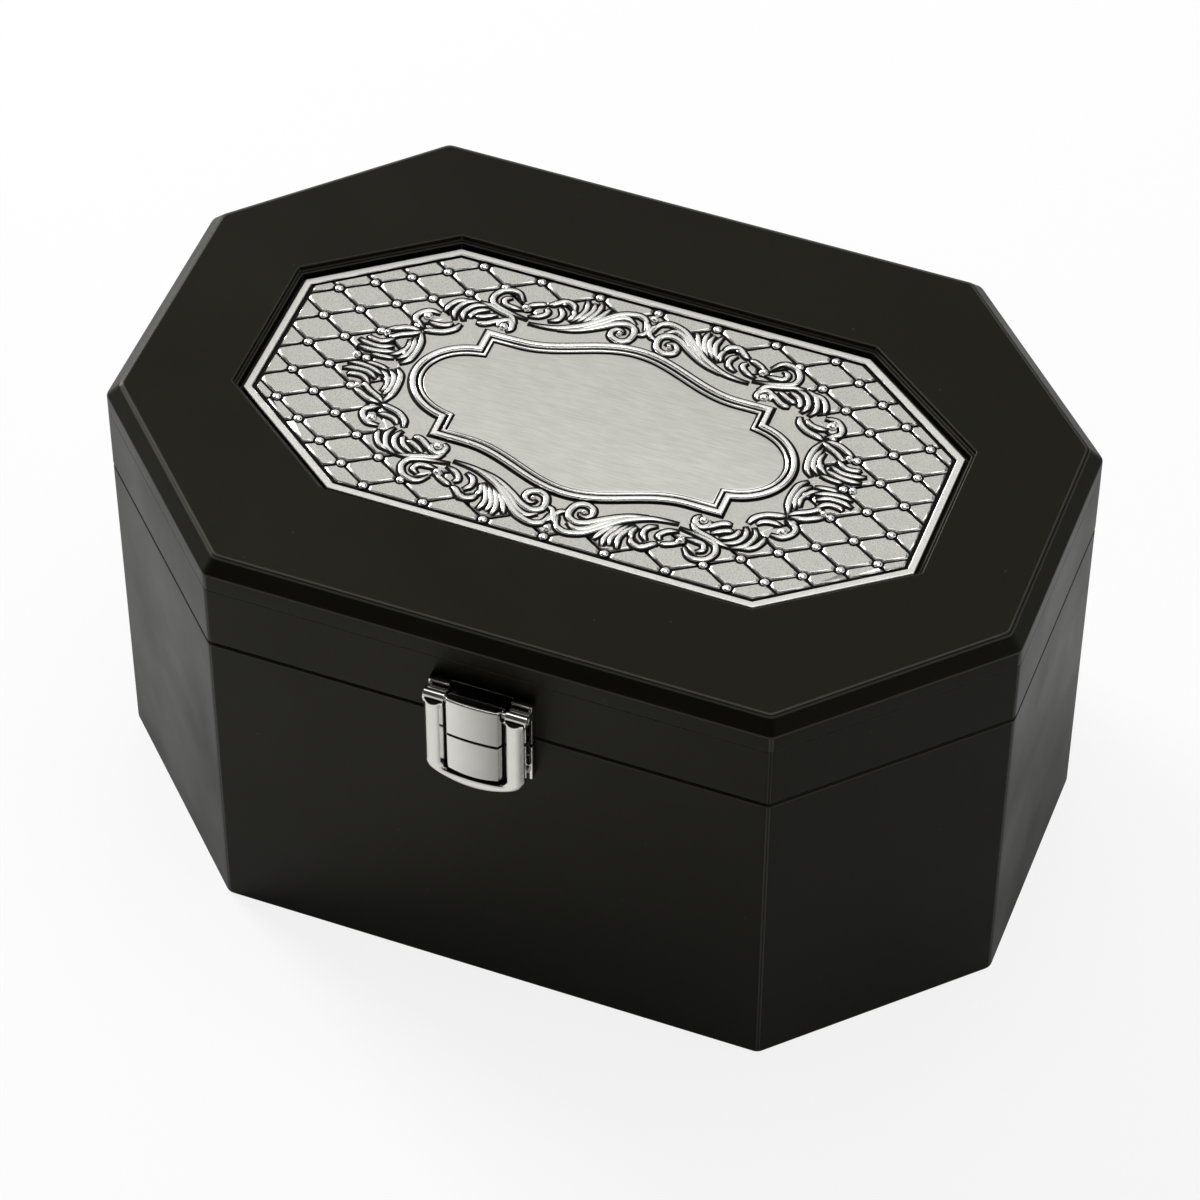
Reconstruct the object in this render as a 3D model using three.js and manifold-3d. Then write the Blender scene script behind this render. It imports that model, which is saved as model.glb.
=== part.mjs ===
// An octagonal lacquered etrog box with a hinged lid, an embossed metal plaque and a front latch.
// Millimetres. X runs along the box, -Y is the front with the latch, +Z is up, and the origin is the
// middle of the underside.
import * as THREE from 'three';
import { mergeVertices } from 'three/addons/utils/BufferGeometryUtils.js';
import Module from 'manifold-3d';

const wasm = await Module();
wasm.setup();

// Body and lid: the outside of the box
const BOX_LENGTH = 180;
const BOX_WIDTH = 121;
const BOX_CUT = 35.2;
const BODY_HEIGHT = 74.6;
const SEAM_GAP = 0.4;
const LID_WALL_HEIGHT = 14.6;
const LID_BOARD = 7;
const WALL = 7;
const CORNER_ROUND = 2;
const BASE_ROUND = 1;
const SEAM_EASE = 0.35;
const BEVEL_IN = 2.7;
const BEVEL_DOWN = 3;
const ARRIS = 0.3;

// How far a cutting solid runs past a face, and the facets of rods, screws and corners
const PAST = 1;
const ROD_SIDES = 16;
const PIN_SIDES = 12;
const SCREW_SIDES = 10;
const CORNER_STEPS = 3;

// Bottom board, its rebate and the felt under it
const BOTTOM_THICKNESS = 5;
const BOTTOM_LAP = 3;
const BOTTOM_CLEARANCE = 0.3;
const FELT = 1;
const FELT_MARGIN = 0.8;

// Plaque and the stepped recess that holds it
const PLAQUE_LENGTH = 132.6;
const PLAQUE_WIDTH = 67;
const PLAQUE_CUT_X = 24.8;
const PLAQUE_CUT_Y = 18.3;
const PLAQUE_SHEET = 1;
const PLAQUE_CLEARANCE = 0.9;
const RECESS_DEPTH = 3.2;
const LEDGE_WIDTH = 0.8;
const LEDGE_DEPTH = 1.2;
const RIM_BAND = 1.5;
const RIM_HEIGHT = 0.4;
const RIM_GROOVE = 0.5;

// Relief on the plaque: lattice, beads, moulding and scrolls
const LATTICE_X = 5.94;
const LATTICE_Y = 3.82;
const PILLOW_GROOVE = 0.6;
const PILLOW_EDGE = 0.65;
const PILLOW_HEIGHT = 0.4;
const PILLOW_ROOT = 0.4;
const BEAD_RADIUS = 0.85;
const BEAD_HEIGHT = 0.6;
const BEAD_SIDES = 6;
const FIELD_MARGIN = 0.1;
const LEAST_PILLOW = 0.4;
const FIELD_TOP = 20.25;
const FIELD_SHOULDER = 14.55;
const FIELD_NOTCH_X = 28.85;
const WAVE_REACH = 22;
const LOBE_CENTRE = 26;
const LOBE_REACH = 12.05;
const LOBE_HEIGHT = 10.25;
const MOULDING_WIDTH = 2.2;
const MOULDING_HEIGHT = 0.6;
const SCROLL_HEIGHT = 0.75;

// Lining, nest cushion and lid pad
const LINING = 2;
const LINING_GAP = 0.3;
const LINING_DROP = 1;
const SOFT_GAP = 0.5;
const NEST_HEIGHT = 36;
const NEST_LENGTH = 124;
const NEST_WIDTH = 74;
const NEST_DEPTH = 27;
const NEST_ROLL = 5;
const PAD_THICKNESS = 7;
const PAD_CROWN = 3;
const PAD_SLOPE = 40;
const PAD_EDGE = 1.4;

// Rear butt hinges
const HINGE_SPACING = 66;
const LEAF_LENGTH = 24;
const LEAF_REACH = 5.6;
const LEAF = 0.9;
const LEAF_GAP = 0.2;
const HINGE_BARREL = 1.6;
const HINGE_PIN = 0.7;
const PIN_CLEARANCE = 0.15;
const HINGE_STANDOFF = 0.3;
const KNUCKLE_GAP = 0.3;
const KNUCKLE_SHARE = 0.46;
const LEAF_SCREW_SHARE_X = 0.3;
const LEAF_SCREW_SHARE_Y = 0.5;

// Front latch
const LATCH_WIDTH = 20;
const LATCH_PLATE = 0.8;
const LATCH_CHEEK = 0.6;
const LATCH_DEPTH = 1.9;
const LID_PLATE_HEIGHT = 10.6;
const STRIKE_HEIGHT = 9.6;
const PLATE_SEAM_GAP = 0.3;
const LATCH_BARREL = 1.3;
const LATCH_PIN = 0.6;
const LATCH_PIN_OUT = 3.9;
const LATCH_PIN_UP = 8.9;
const EAR_GAP = 0.55;
const LUG_RISE = 0.6;
const PANEL_WIDTH = 10.9;
const PANEL_GAP = 0.5;
const PANEL_TOP = 2.3;
const PANEL_ROUND = 0.4;
const PANEL_SAG = 0.7;
const PANEL_SPLIT = 0.5;
const PANEL_OUT = 2.3;
const FLAP_DROP = 20.7;
const FLAP_WIDTH = 19.4;
const FLAP_WEB = 0.6;
const RAIL_OUT = 2.6;
const RAIL_TOP = 0.4;
const RAIL_ROUND = 0.6;
const LIP_HEIGHT = 2.7;
const LIP_GAP = 0.75;
const LIP_SAG = 3.6;
const SAG_STEPS = 8;
const LID_SCREW_SHARE_X = 0.16;
const LID_SCREW_SHARE_Z = 0.35;
const STRIKE_SCREW_SHARE_X = 0.3;
const STRIKE_SCREW_SHARE_Z = 0.3;
const SPRING_WIDTH = 6;
const SPRING_LEAF = 0.4;
const SPRING_LENGTH = 16.2;
const SPRING_BEND = 2.4;
const SPRING_LIFT = 0.1;
const CATCH_BAR = 0.8;
const CATCH_DROP = 6.2;
const CATCH_OUT = 1.9;
const SNAP_CLEARANCE = 0.3;

// Screws
const SCREW_HEAD = 1.5;
const SCREW_SHANK = 0.7;
const SCREW_LENGTH = 5;
const SCREW_CLEARANCE = 0.15;
const SLOT_WIDTH = 0.4;

// Places worked out from the sizes above
const SEAM = BODY_HEIGHT + SEAM_GAP / 2;
const LID_BOTTOM = BODY_HEIGHT + SEAM_GAP;
const BOARD_BOTTOM = LID_BOTTOM + LID_WALL_HEIGHT;
const TOP = BOARD_BOTTOM + LID_BOARD;
const FRONT = -BOX_WIDTH / 2;
const BACK = BOX_WIDTH / 2;
const FLOOR = FELT + BOTTOM_THICKNESS;
const PLAQUE_FLOOR = TOP - RECESS_DEPTH;
const PLAQUE_FACE = PLAQUE_FLOOR + PLAQUE_SHEET;
const HINGE_AXIS_Y = BACK + HINGE_STANDOFF + HINGE_BARREL;
const PIN_Y = FRONT - LATCH_PIN_OUT;
const PIN_Z = SEAM + LATCH_PIN_UP;

const LACQUER = { color: 0x1b1a16, roughness: 0.32, metalness: 0 };
const SILVER = { color: 0xc9c8c2, roughness: 0.3, metalness: 1 };
const VELVET = { color: 0x2a2340, roughness: 0.95, metalness: 0 };
const STEEL = { color: 0x8f8f8c, roughness: 0.35, metalness: 1 };
const FELT_CLOTH = { color: 0x15151a, roughness: 1, metalness: 0 };

const box = new THREE.Group();
const lid = new THREE.Group();
box.add(lid);

// Closed solids, joined and cut

function solid(geometry) {
  const bare = geometry.clone();
  bare.deleteAttribute('normal');
  bare.deleteAttribute('uv');
  const merged = mergeVertices(bare, 1e-5);
  const vertProperties = new Float32Array(merged.attributes.position.array);
  const triVerts = new Uint32Array(merged.index.array);
  return new wasm.Manifold(new wasm.Mesh({ numProp: 3, vertProperties, triVerts }));
}

function surface(manifold) {
  const mesh = manifold.getMesh();
  const geometry = new THREE.BufferGeometry();
  geometry.setAttribute('position', new THREE.BufferAttribute(mesh.vertProperties, 3));
  geometry.setIndex(new THREE.BufferAttribute(mesh.triVerts, 1));
  geometry.computeVertexNormals();
  return geometry;
}

function joined(parts) {
  return parts.reduce((whole, part) => whole.add(part));
}

function add(parent, name, manifold, finish) {
  const mesh = new THREE.Mesh(surface(manifold), new THREE.MeshStandardMaterial(finish));
  mesh.name = name;
  parent.add(mesh);
}

function upright(points, low, high) {
  const outline = new THREE.Shape(points.map(([x, y]) => new THREE.Vector2(x, y)));
  const geometry = new THREE.ExtrudeGeometry(outline, { depth: high - low, bevelEnabled: false });
  return solid(geometry.translate(0, 0, low));
}

// A side profile of [y, z] points, extruded along X between two places.
function crosswise(profile, left, right) {
  const outline = new THREE.Shape(profile.map(([y, z]) => new THREE.Vector2(y, z)));
  const geometry = new THREE.ExtrudeGeometry(outline, { depth: right - left, bevelEnabled: false });
  const turn = new THREE.Matrix4().makeBasis(
    new THREE.Vector3(0, 1, 0),
    new THREE.Vector3(0, 0, 1),
    new THREE.Vector3(1, 0, 0),
  );
  return solid(geometry.applyMatrix4(turn).translate(left, 0, 0));
}

function block(x0, x1, y0, y1, z0, z1) {
  const geometry = new THREE.BoxGeometry(x1 - x0, y1 - y0, z1 - z0);
  return solid(geometry.translate((x0 + x1) / 2, (y0 + y1) / 2, (z0 + z1) / 2));
}

function rodAlongX(radius, left, right, y, z, sides = ROD_SIDES) {
  const geometry = new THREE.CylinderGeometry(radius, radius, right - left, sides);
  return solid(geometry.rotateZ(Math.PI / 2).translate((left + right) / 2, y, z));
}

// A stack of rings with equally many points, closed by a flat cap at each end.
function loft(rings) {
  const count = rings[0].length;
  const positions = rings.flat(2);
  const index = [];
  for (let r = 0; r + 1 < rings.length; r += 1) {
    for (let i = 0; i < count; i += 1) {
      const a = r * count + i;
      const b = r * count + ((i + 1) % count);
      index.push(a, b, b + count, a, b + count, a + count);
    }
  }
  const contour = rings[0].map(([x, y]) => new THREE.Vector2(x, y));
  const last = (rings.length - 1) * count;
  for (const [a, b, c] of THREE.ShapeUtils.triangulateShape(contour, [])) {
    index.push(c, b, a, last + a, last + b, last + c);
  }
  return solid(indexed(positions, index));
}

function indexed(positions, index) {
  const geometry = new THREE.BufferGeometry();
  geometry.setAttribute('position', new THREE.Float32BufferAttribute(positions, 3));
  geometry.setIndex(index);
  return geometry;
}

// A section of [offset, z] points carried round a closed outline: outlineAt(offset) gives its points.
function band(outlineAt, section) {
  const rings = section.map(([offset, z]) => outlineAt(offset).map(([x, y]) => [x, y, z]));
  const count = rings[0].length;
  const index = [];
  rings.forEach((ring, r) => {
    const next = ((r + 1) % rings.length) * count;
    for (let i = 0; i < count; i += 1) {
      const a = r * count + i;
      const b = r * count + ((i + 1) % count);
      index.push(a, b, next + ((i + 1) % count), a, next + ((i + 1) % count), next + i);
    }
  });
  return solid(indexed(rings.flat(2), index));
}

// Octagon outlines

// The eight corners, counter-clockwise, of an octagon drawn in from its outer size by an inset.
function octagon({ length, width, cutX, cutY }, inset = 0) {
  const a = length / 2 - inset;
  const b = width / 2 - inset;
  const slope = Math.hypot(cutX, cutY);
  const reach = ((length / 2) * cutY + (width / 2 - cutY) * cutX) / slope - inset;
  const y = (reach * slope - a * cutY) / cutX;
  const x = (reach * slope - b * cutX) / cutY;
  return [[a, -y], [a, y], [x, b], [-x, b], [-a, y], [-a, -y], [-x, -b], [x, -b]];
}

// Each corner of a convex outline replaced by an arc.
function rounded(points, radius, steps = CORNER_STEPS) {
  return points.flatMap((point, i) => {
    const corner = new THREE.Vector2(...point);
    const before = new THREE.Vector2(...points.at(i - 1)).sub(corner).normalize();
    const after = new THREE.Vector2(...points[(i + 1) % points.length]).sub(corner).normalize();
    const half = Math.acos(before.dot(after)) / 2;
    const middle = before.clone().add(after).normalize().multiplyScalar(radius / Math.sin(half)).add(corner);
    const start = before.multiplyScalar(radius / Math.tan(half)).add(corner).sub(middle).angle();
    const sweep = Math.PI - 2 * half;
    return Array.from({ length: steps + 1 }, (_, k) => {
      const angle = start + (sweep * k) / steps;
      return [middle.x + radius * Math.cos(angle), middle.y + radius * Math.sin(angle)];
    });
  });
}

const SHELL = { length: BOX_LENGTH, width: BOX_WIDTH, cutX: BOX_CUT, cutY: BOX_CUT };
const PLAQUE = { length: PLAQUE_LENGTH, width: PLAQUE_WIDTH, cutX: PLAQUE_CUT_X, cutY: PLAQUE_CUT_Y };

// The outside of the box between two heights: a list of [inset, z] steps with rounded upright corners.
function shellOutside(profile) {
  return loft(profile.map(([inset, z]) => (
    rounded(octagon(SHELL, inset), CORNER_ROUND).map(([x, y]) => [x, y, z])
  )));
}

// Screws: countersunk, slotted, in an upright or a level hole

const ACROSS = new THREE.Matrix4().makeRotationX(Math.PI / 2);
const UP = new THREE.Matrix4();
const DOWN = new THREE.Matrix4().makeRotationX(Math.PI);

function screwProfile(grow) {
  const head = SCREW_HEAD + grow;
  const shank = SCREW_SHANK + grow;
  const tip = -SCREW_LENGTH - grow;
  return [[0, grow], [head, grow], [head, 0], [shank, shank - head], [shank, tip], [0, tip]];
}

function turned(profile, sides = SCREW_SIDES) {
  const points = profile.map(([r, z]) => new THREE.Vector2(r, z));
  return solid(new THREE.LatheGeometry(points.reverse(), sides).rotateX(Math.PI / 2));
}

function placed(part, facing, [x, y, z]) {
  const matrix = new THREE.Matrix4().makeTranslation(x, y, z).multiply(facing);
  return part.transform(matrix.elements);
}

function screw(facing, place) {
  const slot = block(-SCREW_HEAD, SCREW_HEAD, -SLOT_WIDTH / 2, SLOT_WIDTH / 2, -SLOT_WIDTH, SLOT_WIDTH);
  return placed(turned(screwProfile(0)).subtract(slot), facing, place);
}

function screwHole(facing, place) {
  return placed(turned(screwProfile(SCREW_CLEARANCE)), facing, place);
}

// Where the screws stand

const HINGES = [-1, 1].map((side) => ({ side, x: (side * HINGE_SPACING) / 2 }));
const LEAF_SCREW_X = LEAF_LENGTH * LEAF_SCREW_SHARE_X;
const LEAF_SCREW_Y = BACK - LEAF_REACH * LEAF_SCREW_SHARE_Y;
const BODY_LEAF_TOP = SEAM - LEAF_GAP / 2;
const LID_LEAF_BOTTOM = SEAM + LEAF_GAP / 2;
const LATCH_SCREW_Y = FRONT - LATCH_PLATE;
const LID_SCREW_X = LATCH_WIDTH * LID_SCREW_SHARE_X;
const LID_SCREW_Z = SEAM + LID_PLATE_HEIGHT * LID_SCREW_SHARE_Z;
const STRIKE_SCREW_X = LATCH_WIDTH * STRIKE_SCREW_SHARE_X;
const STRIKE_SCREW_Z = SEAM - STRIKE_HEIGHT * STRIKE_SCREW_SHARE_Z;

function leafScrewPlaces(x, z) {
  return [-1, 1].map((side) => [x + side * LEAF_SCREW_X, LEAF_SCREW_Y, z]);
}

function plateScrewPlaces(x, z) {
  return [-1, 1].map((side) => [side * x, LATCH_SCREW_Y, z]);
}

// Body

function leafMortise(x, low, high) {
  const half = LEAF_LENGTH / 2 + KNUCKLE_GAP;
  return block(x - half, x + half, BACK - LEAF_REACH - KNUCKLE_GAP, BACK + PAST, low, high);
}

function bodyCarcass() {
  const arc = [0, 0.25, 0.5, 0.75, 1].map((t) => {
    const angle = (t * Math.PI) / 2;
    return [BASE_ROUND * (1 - Math.sin(angle)), BASE_ROUND * (1 - Math.cos(angle))];
  });
  const profile = [...arc, [0, BODY_HEIGHT - SEAM_EASE], [SEAM_EASE, BODY_HEIGHT]];
  const cuts = [
    upright(octagon(SHELL, WALL), -PAST, BODY_HEIGHT + PAST),
    upright(octagon(SHELL, WALL - BOTTOM_LAP), -PAST, FLOOR),
    ...HINGES.map(({ x }) => leafMortise(x, BODY_LEAF_TOP - LEAF, BODY_HEIGHT + PAST)),
    ...HINGES.flatMap(({ x }) => leafScrewPlaces(x, BODY_LEAF_TOP).map((at) => screwHole(UP, at))),
    ...plateScrewPlaces(STRIKE_SCREW_X, STRIKE_SCREW_Z).map((at) => screwHole(ACROSS, at)),
  ];
  return shellOutside(profile).subtract(joined(cuts));
}

function bottomBoard() {
  return upright(octagon(SHELL, WALL - BOTTOM_LAP + BOTTOM_CLEARANCE), FELT, FLOOR);
}

function baseFelt() {
  return upright(octagon(SHELL, WALL - BOTTOM_LAP + FELT_MARGIN), 0, FELT);
}

add(box, 'body_carcass', bodyCarcass(), LACQUER);
add(box, 'body_bottom', bottomBoard(), LACQUER);
add(box, 'base_felt', baseFelt(), FELT_CLOTH);

// Lid

function lidFrame() {
  const profile = [[SEAM_EASE, LID_BOTTOM], [0, LID_BOTTOM + SEAM_EASE], [0, BOARD_BOTTOM]];
  const cuts = [
    upright(octagon(SHELL, WALL), LID_BOTTOM - PAST, BOARD_BOTTOM + PAST),
    ...HINGES.map(({ x }) => leafMortise(x, LID_BOTTOM - PAST, LID_LEAF_BOTTOM + LEAF)),
    ...HINGES.flatMap(({ x }) => leafScrewPlaces(x, LID_LEAF_BOTTOM).map((at) => screwHole(DOWN, at))),
    ...plateScrewPlaces(LID_SCREW_X, LID_SCREW_Z).map((at) => screwHole(ACROSS, at)),
  ];
  return shellOutside(profile).subtract(joined(cuts));
}

function lidTopBoard() {
  const profile = [
    [0, BOARD_BOTTOM],
    [0, TOP - BEVEL_DOWN],
    [ARRIS, TOP - BEVEL_DOWN + ARRIS],
    [BEVEL_IN - ARRIS, TOP - ARRIS],
    [BEVEL_IN + ARRIS, TOP],
  ];
  const recess = upright(octagon(PLAQUE, -PLAQUE_CLEARANCE), PLAQUE_FLOOR, TOP + PAST);
  const ledge = upright(octagon(PLAQUE, -PLAQUE_CLEARANCE - LEDGE_WIDTH), TOP - LEDGE_DEPTH, TOP + PAST);
  return shellOutside(profile).subtract(recess.add(ledge));
}

add(lid, 'lid_frame', lidFrame(), LACQUER);
add(lid, 'lid_top_board', lidTopBoard(), LACQUER);

// Plaque relief

// One quarter of the moulding's outline, from the middle of the long side to the end of the lobe.
function fieldQuarter() {
  const wave = [0, 1, 2, 3, 4, 5, 6, 7].map((k) => {
    const x = (WAVE_REACH * k) / 7;
    const rise = (1 + Math.cos((Math.PI * x) / WAVE_REACH)) / 2;
    return [x, FIELD_SHOULDER + (FIELD_TOP - FIELD_SHOULDER) * rise];
  });
  const start = Math.acos((FIELD_NOTCH_X - LOBE_CENTRE) / LOBE_REACH);
  const lobe = [0, 1, 2, 3, 4, 5, 6].map((k) => {
    const angle = start * (1 - k / 6);
    return [LOBE_CENTRE + LOBE_REACH * Math.cos(angle), LOBE_HEIGHT * Math.sin(angle)];
  });
  return [...wave, [FIELD_NOTCH_X, FIELD_SHOULDER], ...lobe];
}

// The quarter mirrored into a closed outline, counter-clockwise, without doubled points.
function mirrored(quarter) {
  const right = [...quarter].reverse();
  const half = [...right.map(([x, y]) => [x, -y]).reverse(), ...right.slice(1)];
  const rightSide = half.slice(0, -1);
  return [...rightSide, ...rightSide.map(([x, y]) => [-x, -y])];
}

// A closed outline moved inwards, with mitred corners.
function drawnIn(points, distance) {
  return points.map((point, i) => {
    const here = new THREE.Vector2(...point);
    const before = here.clone().sub(new THREE.Vector2(...points.at(i - 1))).normalize();
    const after = new THREE.Vector2(...points[(i + 1) % points.length]).sub(here).normalize();
    const inward = new THREE.Vector2(-before.y - after.y, before.x + after.x).normalize();
    const stretch = distance / (inward.x * -before.y + inward.y * before.x);
    return [here.x + inward.x * stretch, here.y + inward.y * stretch];
  });
}

const FIELD_OUTLINE = mirrored(fieldQuarter());

function mouldingBand() {
  const sunk = PLAQUE_FACE - PLAQUE_SHEET / 2;
  const section = [
    [0, PLAQUE_FACE],
    [0.16, PLAQUE_FACE + MOULDING_HEIGHT],
    [0.42, PLAQUE_FACE + MOULDING_HEIGHT],
    [0.64, PLAQUE_FACE + MOULDING_HEIGHT * 0.2],
    [0.86, PLAQUE_FACE + MOULDING_HEIGHT * 0.6],
    [1, PLAQUE_FACE],
    [0.5, sunk],
  ];
  return band(
    (offset) => drawnIn(FIELD_OUTLINE, offset),
    section.map(([share, z]) => [share * MOULDING_WIDTH, z]),
  );
}

// The edge of the smooth ground inside the lattice, which runs under the scrolls.
const GROUND_EDGE = [
  [0, 26.6],
  [11, 25.4],
  [19, 21.4],
  [27, 21.2],
  [33, 19.2],
  [38, 14.6],
  [40.6, 9],
  [41.4, 0],
];

function groundOutline() {
  const quarter = new THREE.CatmullRomCurve3(GROUND_EDGE.map(([x, y]) => new THREE.Vector3(x, y, 0)));
  return mirrored(quarter.getPoints(GROUND_EDGE.length * 2).map(({ x, y }) => [x, y]));
}

// The places of the lattice: its crossings (0), or the middles of its diamonds (1).
function latticePlaces(odd) {
  const across = Math.ceil(PLAQUE_LENGTH / 2 / LATTICE_X);
  const up = Math.ceil(PLAQUE_WIDTH / 2 / LATTICE_Y);
  const places = [];
  for (let i = -across; i <= across; i += 1) {
    for (let j = -up; j <= up; j += 1) {
      if (Math.abs(i + j) % 2 === odd) places.push([i * LATTICE_X, j * LATTICE_Y]);
    }
  }
  return places;
}

function inside([x, y], outline) {
  let crossings = 0;
  outline.forEach(([x0, y0], i) => {
    const [x1, y1] = outline[(i + 1) % outline.length];
    if ((y0 > y) !== (y1 > y) && x < x0 + ((y - y0) / (y1 - y0)) * (x1 - x0)) crossings += 1;
  });
  return crossings % 2 === 1;
}

// A bead on a crossing of the lattice.
function bead([x, y]) {
  const profile = [[0, BEAD_HEIGHT], [BEAD_RADIUS * 0.72, BEAD_HEIGHT * 0.72]];
  const foot = [[BEAD_RADIUS, -PILLOW_ROOT], [0, -PILLOW_ROOT]];
  return placed(turned([...profile, ...foot], BEAD_SIDES), UP, [x, y, PLAQUE_FACE]);
}

// A diamond pillow between four beads, its points cut off to clear them.
function pillow([x, y]) {
  const steep = Math.hypot(LATTICE_X, LATTICE_Y);
  const ring = (inset, z) => {
    const half = LATTICE_X - (inset * steep) / LATTICE_Y;
    const rise = LATTICE_Y - (inset * steep) / LATTICE_X;
    const clear = BEAD_RADIUS + PILLOW_GROOVE + inset;
    const endX = LATTICE_X - clear;
    const endY = LATTICE_Y - clear;
    const besideX = rise * (1 - endX / half);
    const besideY = half * (1 - endY / rise);
    const upper = [[endX, besideX], [besideY, endY], [-besideY, endY], [-endX, besideX]];
    const lower = upper.map(([u, v]) => [-u, -v]);
    return [...upper, ...lower].map(([u, v]) => [x + u, y + v, PLAQUE_FACE + z]);
  };
  return loft([
    ring(PILLOW_GROOVE / 2, -PILLOW_ROOT),
    ring(PILLOW_GROOVE / 2, 0),
    ring(PILLOW_EDGE, PILLOW_HEIGHT),
  ]);
}

function lattice() {
  const field = octagon(PLAQUE, RIM_BAND + RIM_GROOVE + FIELD_MARGIN);
  const outline = groundOutline();
  const frame = upright(field, PLAQUE_FLOOR, TOP).subtract(upright(outline, PLAQUE_FLOOR - PAST, TOP + PAST));
  const nearby = octagon(PLAQUE, RIM_BAND - LATTICE_X);
  const pillows = joined(latticePlaces(1).filter((at) => inside(at, nearby)).map(pillow));
  const whole = pillows.intersect(frame).decompose().filter((part) => part.volume() > LEAST_PILLOW);
  const beadField = octagon(PLAQUE, RIM_BAND + RIM_GROOVE + BEAD_RADIUS);
  const beads = latticePlaces(0).filter((at) => inside(at, beadField) && !inside(at, outline));
  return joined([...whole, ...beads.map(bead)]);
}

// Scroll strokes of one quarter of the plaque, each with its half width and its route from root to tip.
const STROKES = [
  { half: 0.95, route: [[0.9, 26.4], [3.4, 28.8], [7, 27.4], [10.5, 23.6], [16.5, 20.3], [22.5, 19.7]] },
  { half: 0.75, route: [[9.6, 24.6], [7.6, 25.4], [5.4, 25.1], [3, 23.4], [3.4, 21.6], [5.2, 21.8]] },
  { half: 0.8, route: [[12.2, 22.6], [10.6, 25.2], [10.6, 28.6]] },
  { half: 0.85, route: [[14.4, 21.8], [12.9, 25.4], [13.4, 30]] },
  { half: 0.85, route: [[16.8, 20.8], [15.4, 24.4], [16.6, 28]] },
  { half: 0.8, route: [[19.6, 20.2], [18.6, 23.4], [20.4, 25.8]] },
  { half: 0.9, route: [[22, 19.8], [26.4, 20.6], [29.8, 22.8], [30, 25.6], [28.2, 26.4]] },
  { half: 0.75, route: [[22.4, 20.8], [22.6, 23.6], [25.2, 24]] },
  { half: 0.85, route: [[26, 16.2], [24.2, 17.6], [26.4, 19.6], [31, 20.5], [35.4, 19.6], [37.6, 17]] },
  { half: 0.75, route: [[28.4, 19.4], [31.2, 18.4], [32, 16.4]] },
  { half: 0.75, route: [[32, 20], [34.6, 18.2], [34.8, 15.6]] },
  { half: 0.7, route: [[36, 19.2], [37.8, 16.6], [37, 14.2]] },
  { half: 0.85, route: [[33.6, 14.8], [34.8, 12.4], [38.4, 11], [41.6, 12], [41.2, 14.4]] },
  { half: 0.75, route: [[40.4, 11], [39.2, 7], [39.5, 3], [41, 1]] },
  { half: 0.85, route: [[40.6, 10.8], [44.4, 9], [48, 6.4]] },
  { half: 0.85, route: [[41.6, 9], [43.4, 5.4], [47.2, 3.8], [51, 3.6]] },
  { half: 0.75, route: [[41, 7], [42, 3.4], [45.6, 1.6], [48.6, 1.8]] },
];

// A raised stroke with a ridge along its middle, low and thin at both ends.
function stroke({ half, route }, flipX, flipY) {
  const curve = new THREE.CatmullRomCurve3(route.map(([x, y]) => new THREE.Vector3(x * flipX, y * flipY, 0)));
  const steps = route.length + 1;
  const low = PLAQUE_FACE - PLAQUE_SHEET / 2;
  const rings = Array.from({ length: steps + 1 }, (_, k) => {
    const t = k / steps;
    const at = curve.getPoint(t);
    const ahead = curve.getTangent(t);
    const swell = half * (0.3 + 0.7 * Math.sin(Math.PI * Math.min(0.96, 0.12 + 0.84 * t)));
    const crest = PLAQUE_FACE + SCROLL_HEIGHT * (0.5 + 0.5 * Math.sin(Math.PI * t));
    const across = [[-swell, low], [0, crest], [swell, low]];
    return across.map(([w, z]) => [at.x - ahead.y * w, at.y + ahead.x * w, z]);
  });
  return tube(rings);
}

// Rings of points joined into a closed tube with a fan at each end.
function tube(rings) {
  const count = rings[0].length;
  const index = [];
  for (let r = 0; r + 1 < rings.length; r += 1) {
    for (let i = 0; i < count; i += 1) {
      const a = r * count + i;
      const b = r * count + ((i + 1) % count);
      index.push(a, a + count, b + count, a, b + count, b);
    }
  }
  const last = (rings.length - 1) * count;
  for (let i = 1; i + 1 < count; i += 1) {
    index.push(0, i, i + 1, last, last + i + 1, last + i);
  }
  return solid(indexed(rings.flat(2), index));
}

function scrolls() {
  const corners = [[1, 1], [-1, 1], [1, -1], [-1, -1]];
  return joined(corners.flatMap(([x, y]) => STROKES.map((line) => stroke(line, x, y))));
}

// The sheet with its flat rim and the groove inside the rim, as one stack of octagons.
function plaqueSheet() {
  const top = PLAQUE_FACE + RIM_HEIGHT;
  const chamfer = RIM_BAND * 0.2;
  const bed = PLAQUE_FACE - RIM_HEIGHT / 2;
  const profile = [
    [0, PLAQUE_FLOOR],
    [0, top - chamfer],
    [chamfer, top],
    [RIM_BAND - chamfer, top],
    [RIM_BAND, bed],
    [RIM_BAND + RIM_GROOVE, bed],
    [RIM_BAND + RIM_GROOVE, PLAQUE_FACE],
  ];
  return loft(profile.map(([inset, z]) => octagon(PLAQUE, inset).map(([x, y]) => [x, y, z])));
}

function plaque() {
  return joined([plaqueSheet(), lattice(), mouldingBand(), scrolls()]);
}

add(lid, 'plaque', plaque(), SILVER);

// Lining and padding

// The distance to the edge of an octagon with softened corners, in a given direction.
function softReach(outline, angle) {
  const sharpness = 22;
  const sum = outline.reduce((total, [x0, y0], i) => {
    const [x1, y1] = outline[(i + 1) % outline.length];
    const length = Math.hypot(x1 - x0, y1 - y0);
    const distance = (x0 * y1 - x1 * y0) / length;
    const facing = ((y1 - y0) * Math.cos(angle) - (x1 - x0) * Math.sin(angle)) / length;
    return total + Math.max(0, facing / distance) ** sharpness;
  }, 0);
  return sum ** (-1 / sharpness);
}

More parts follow.
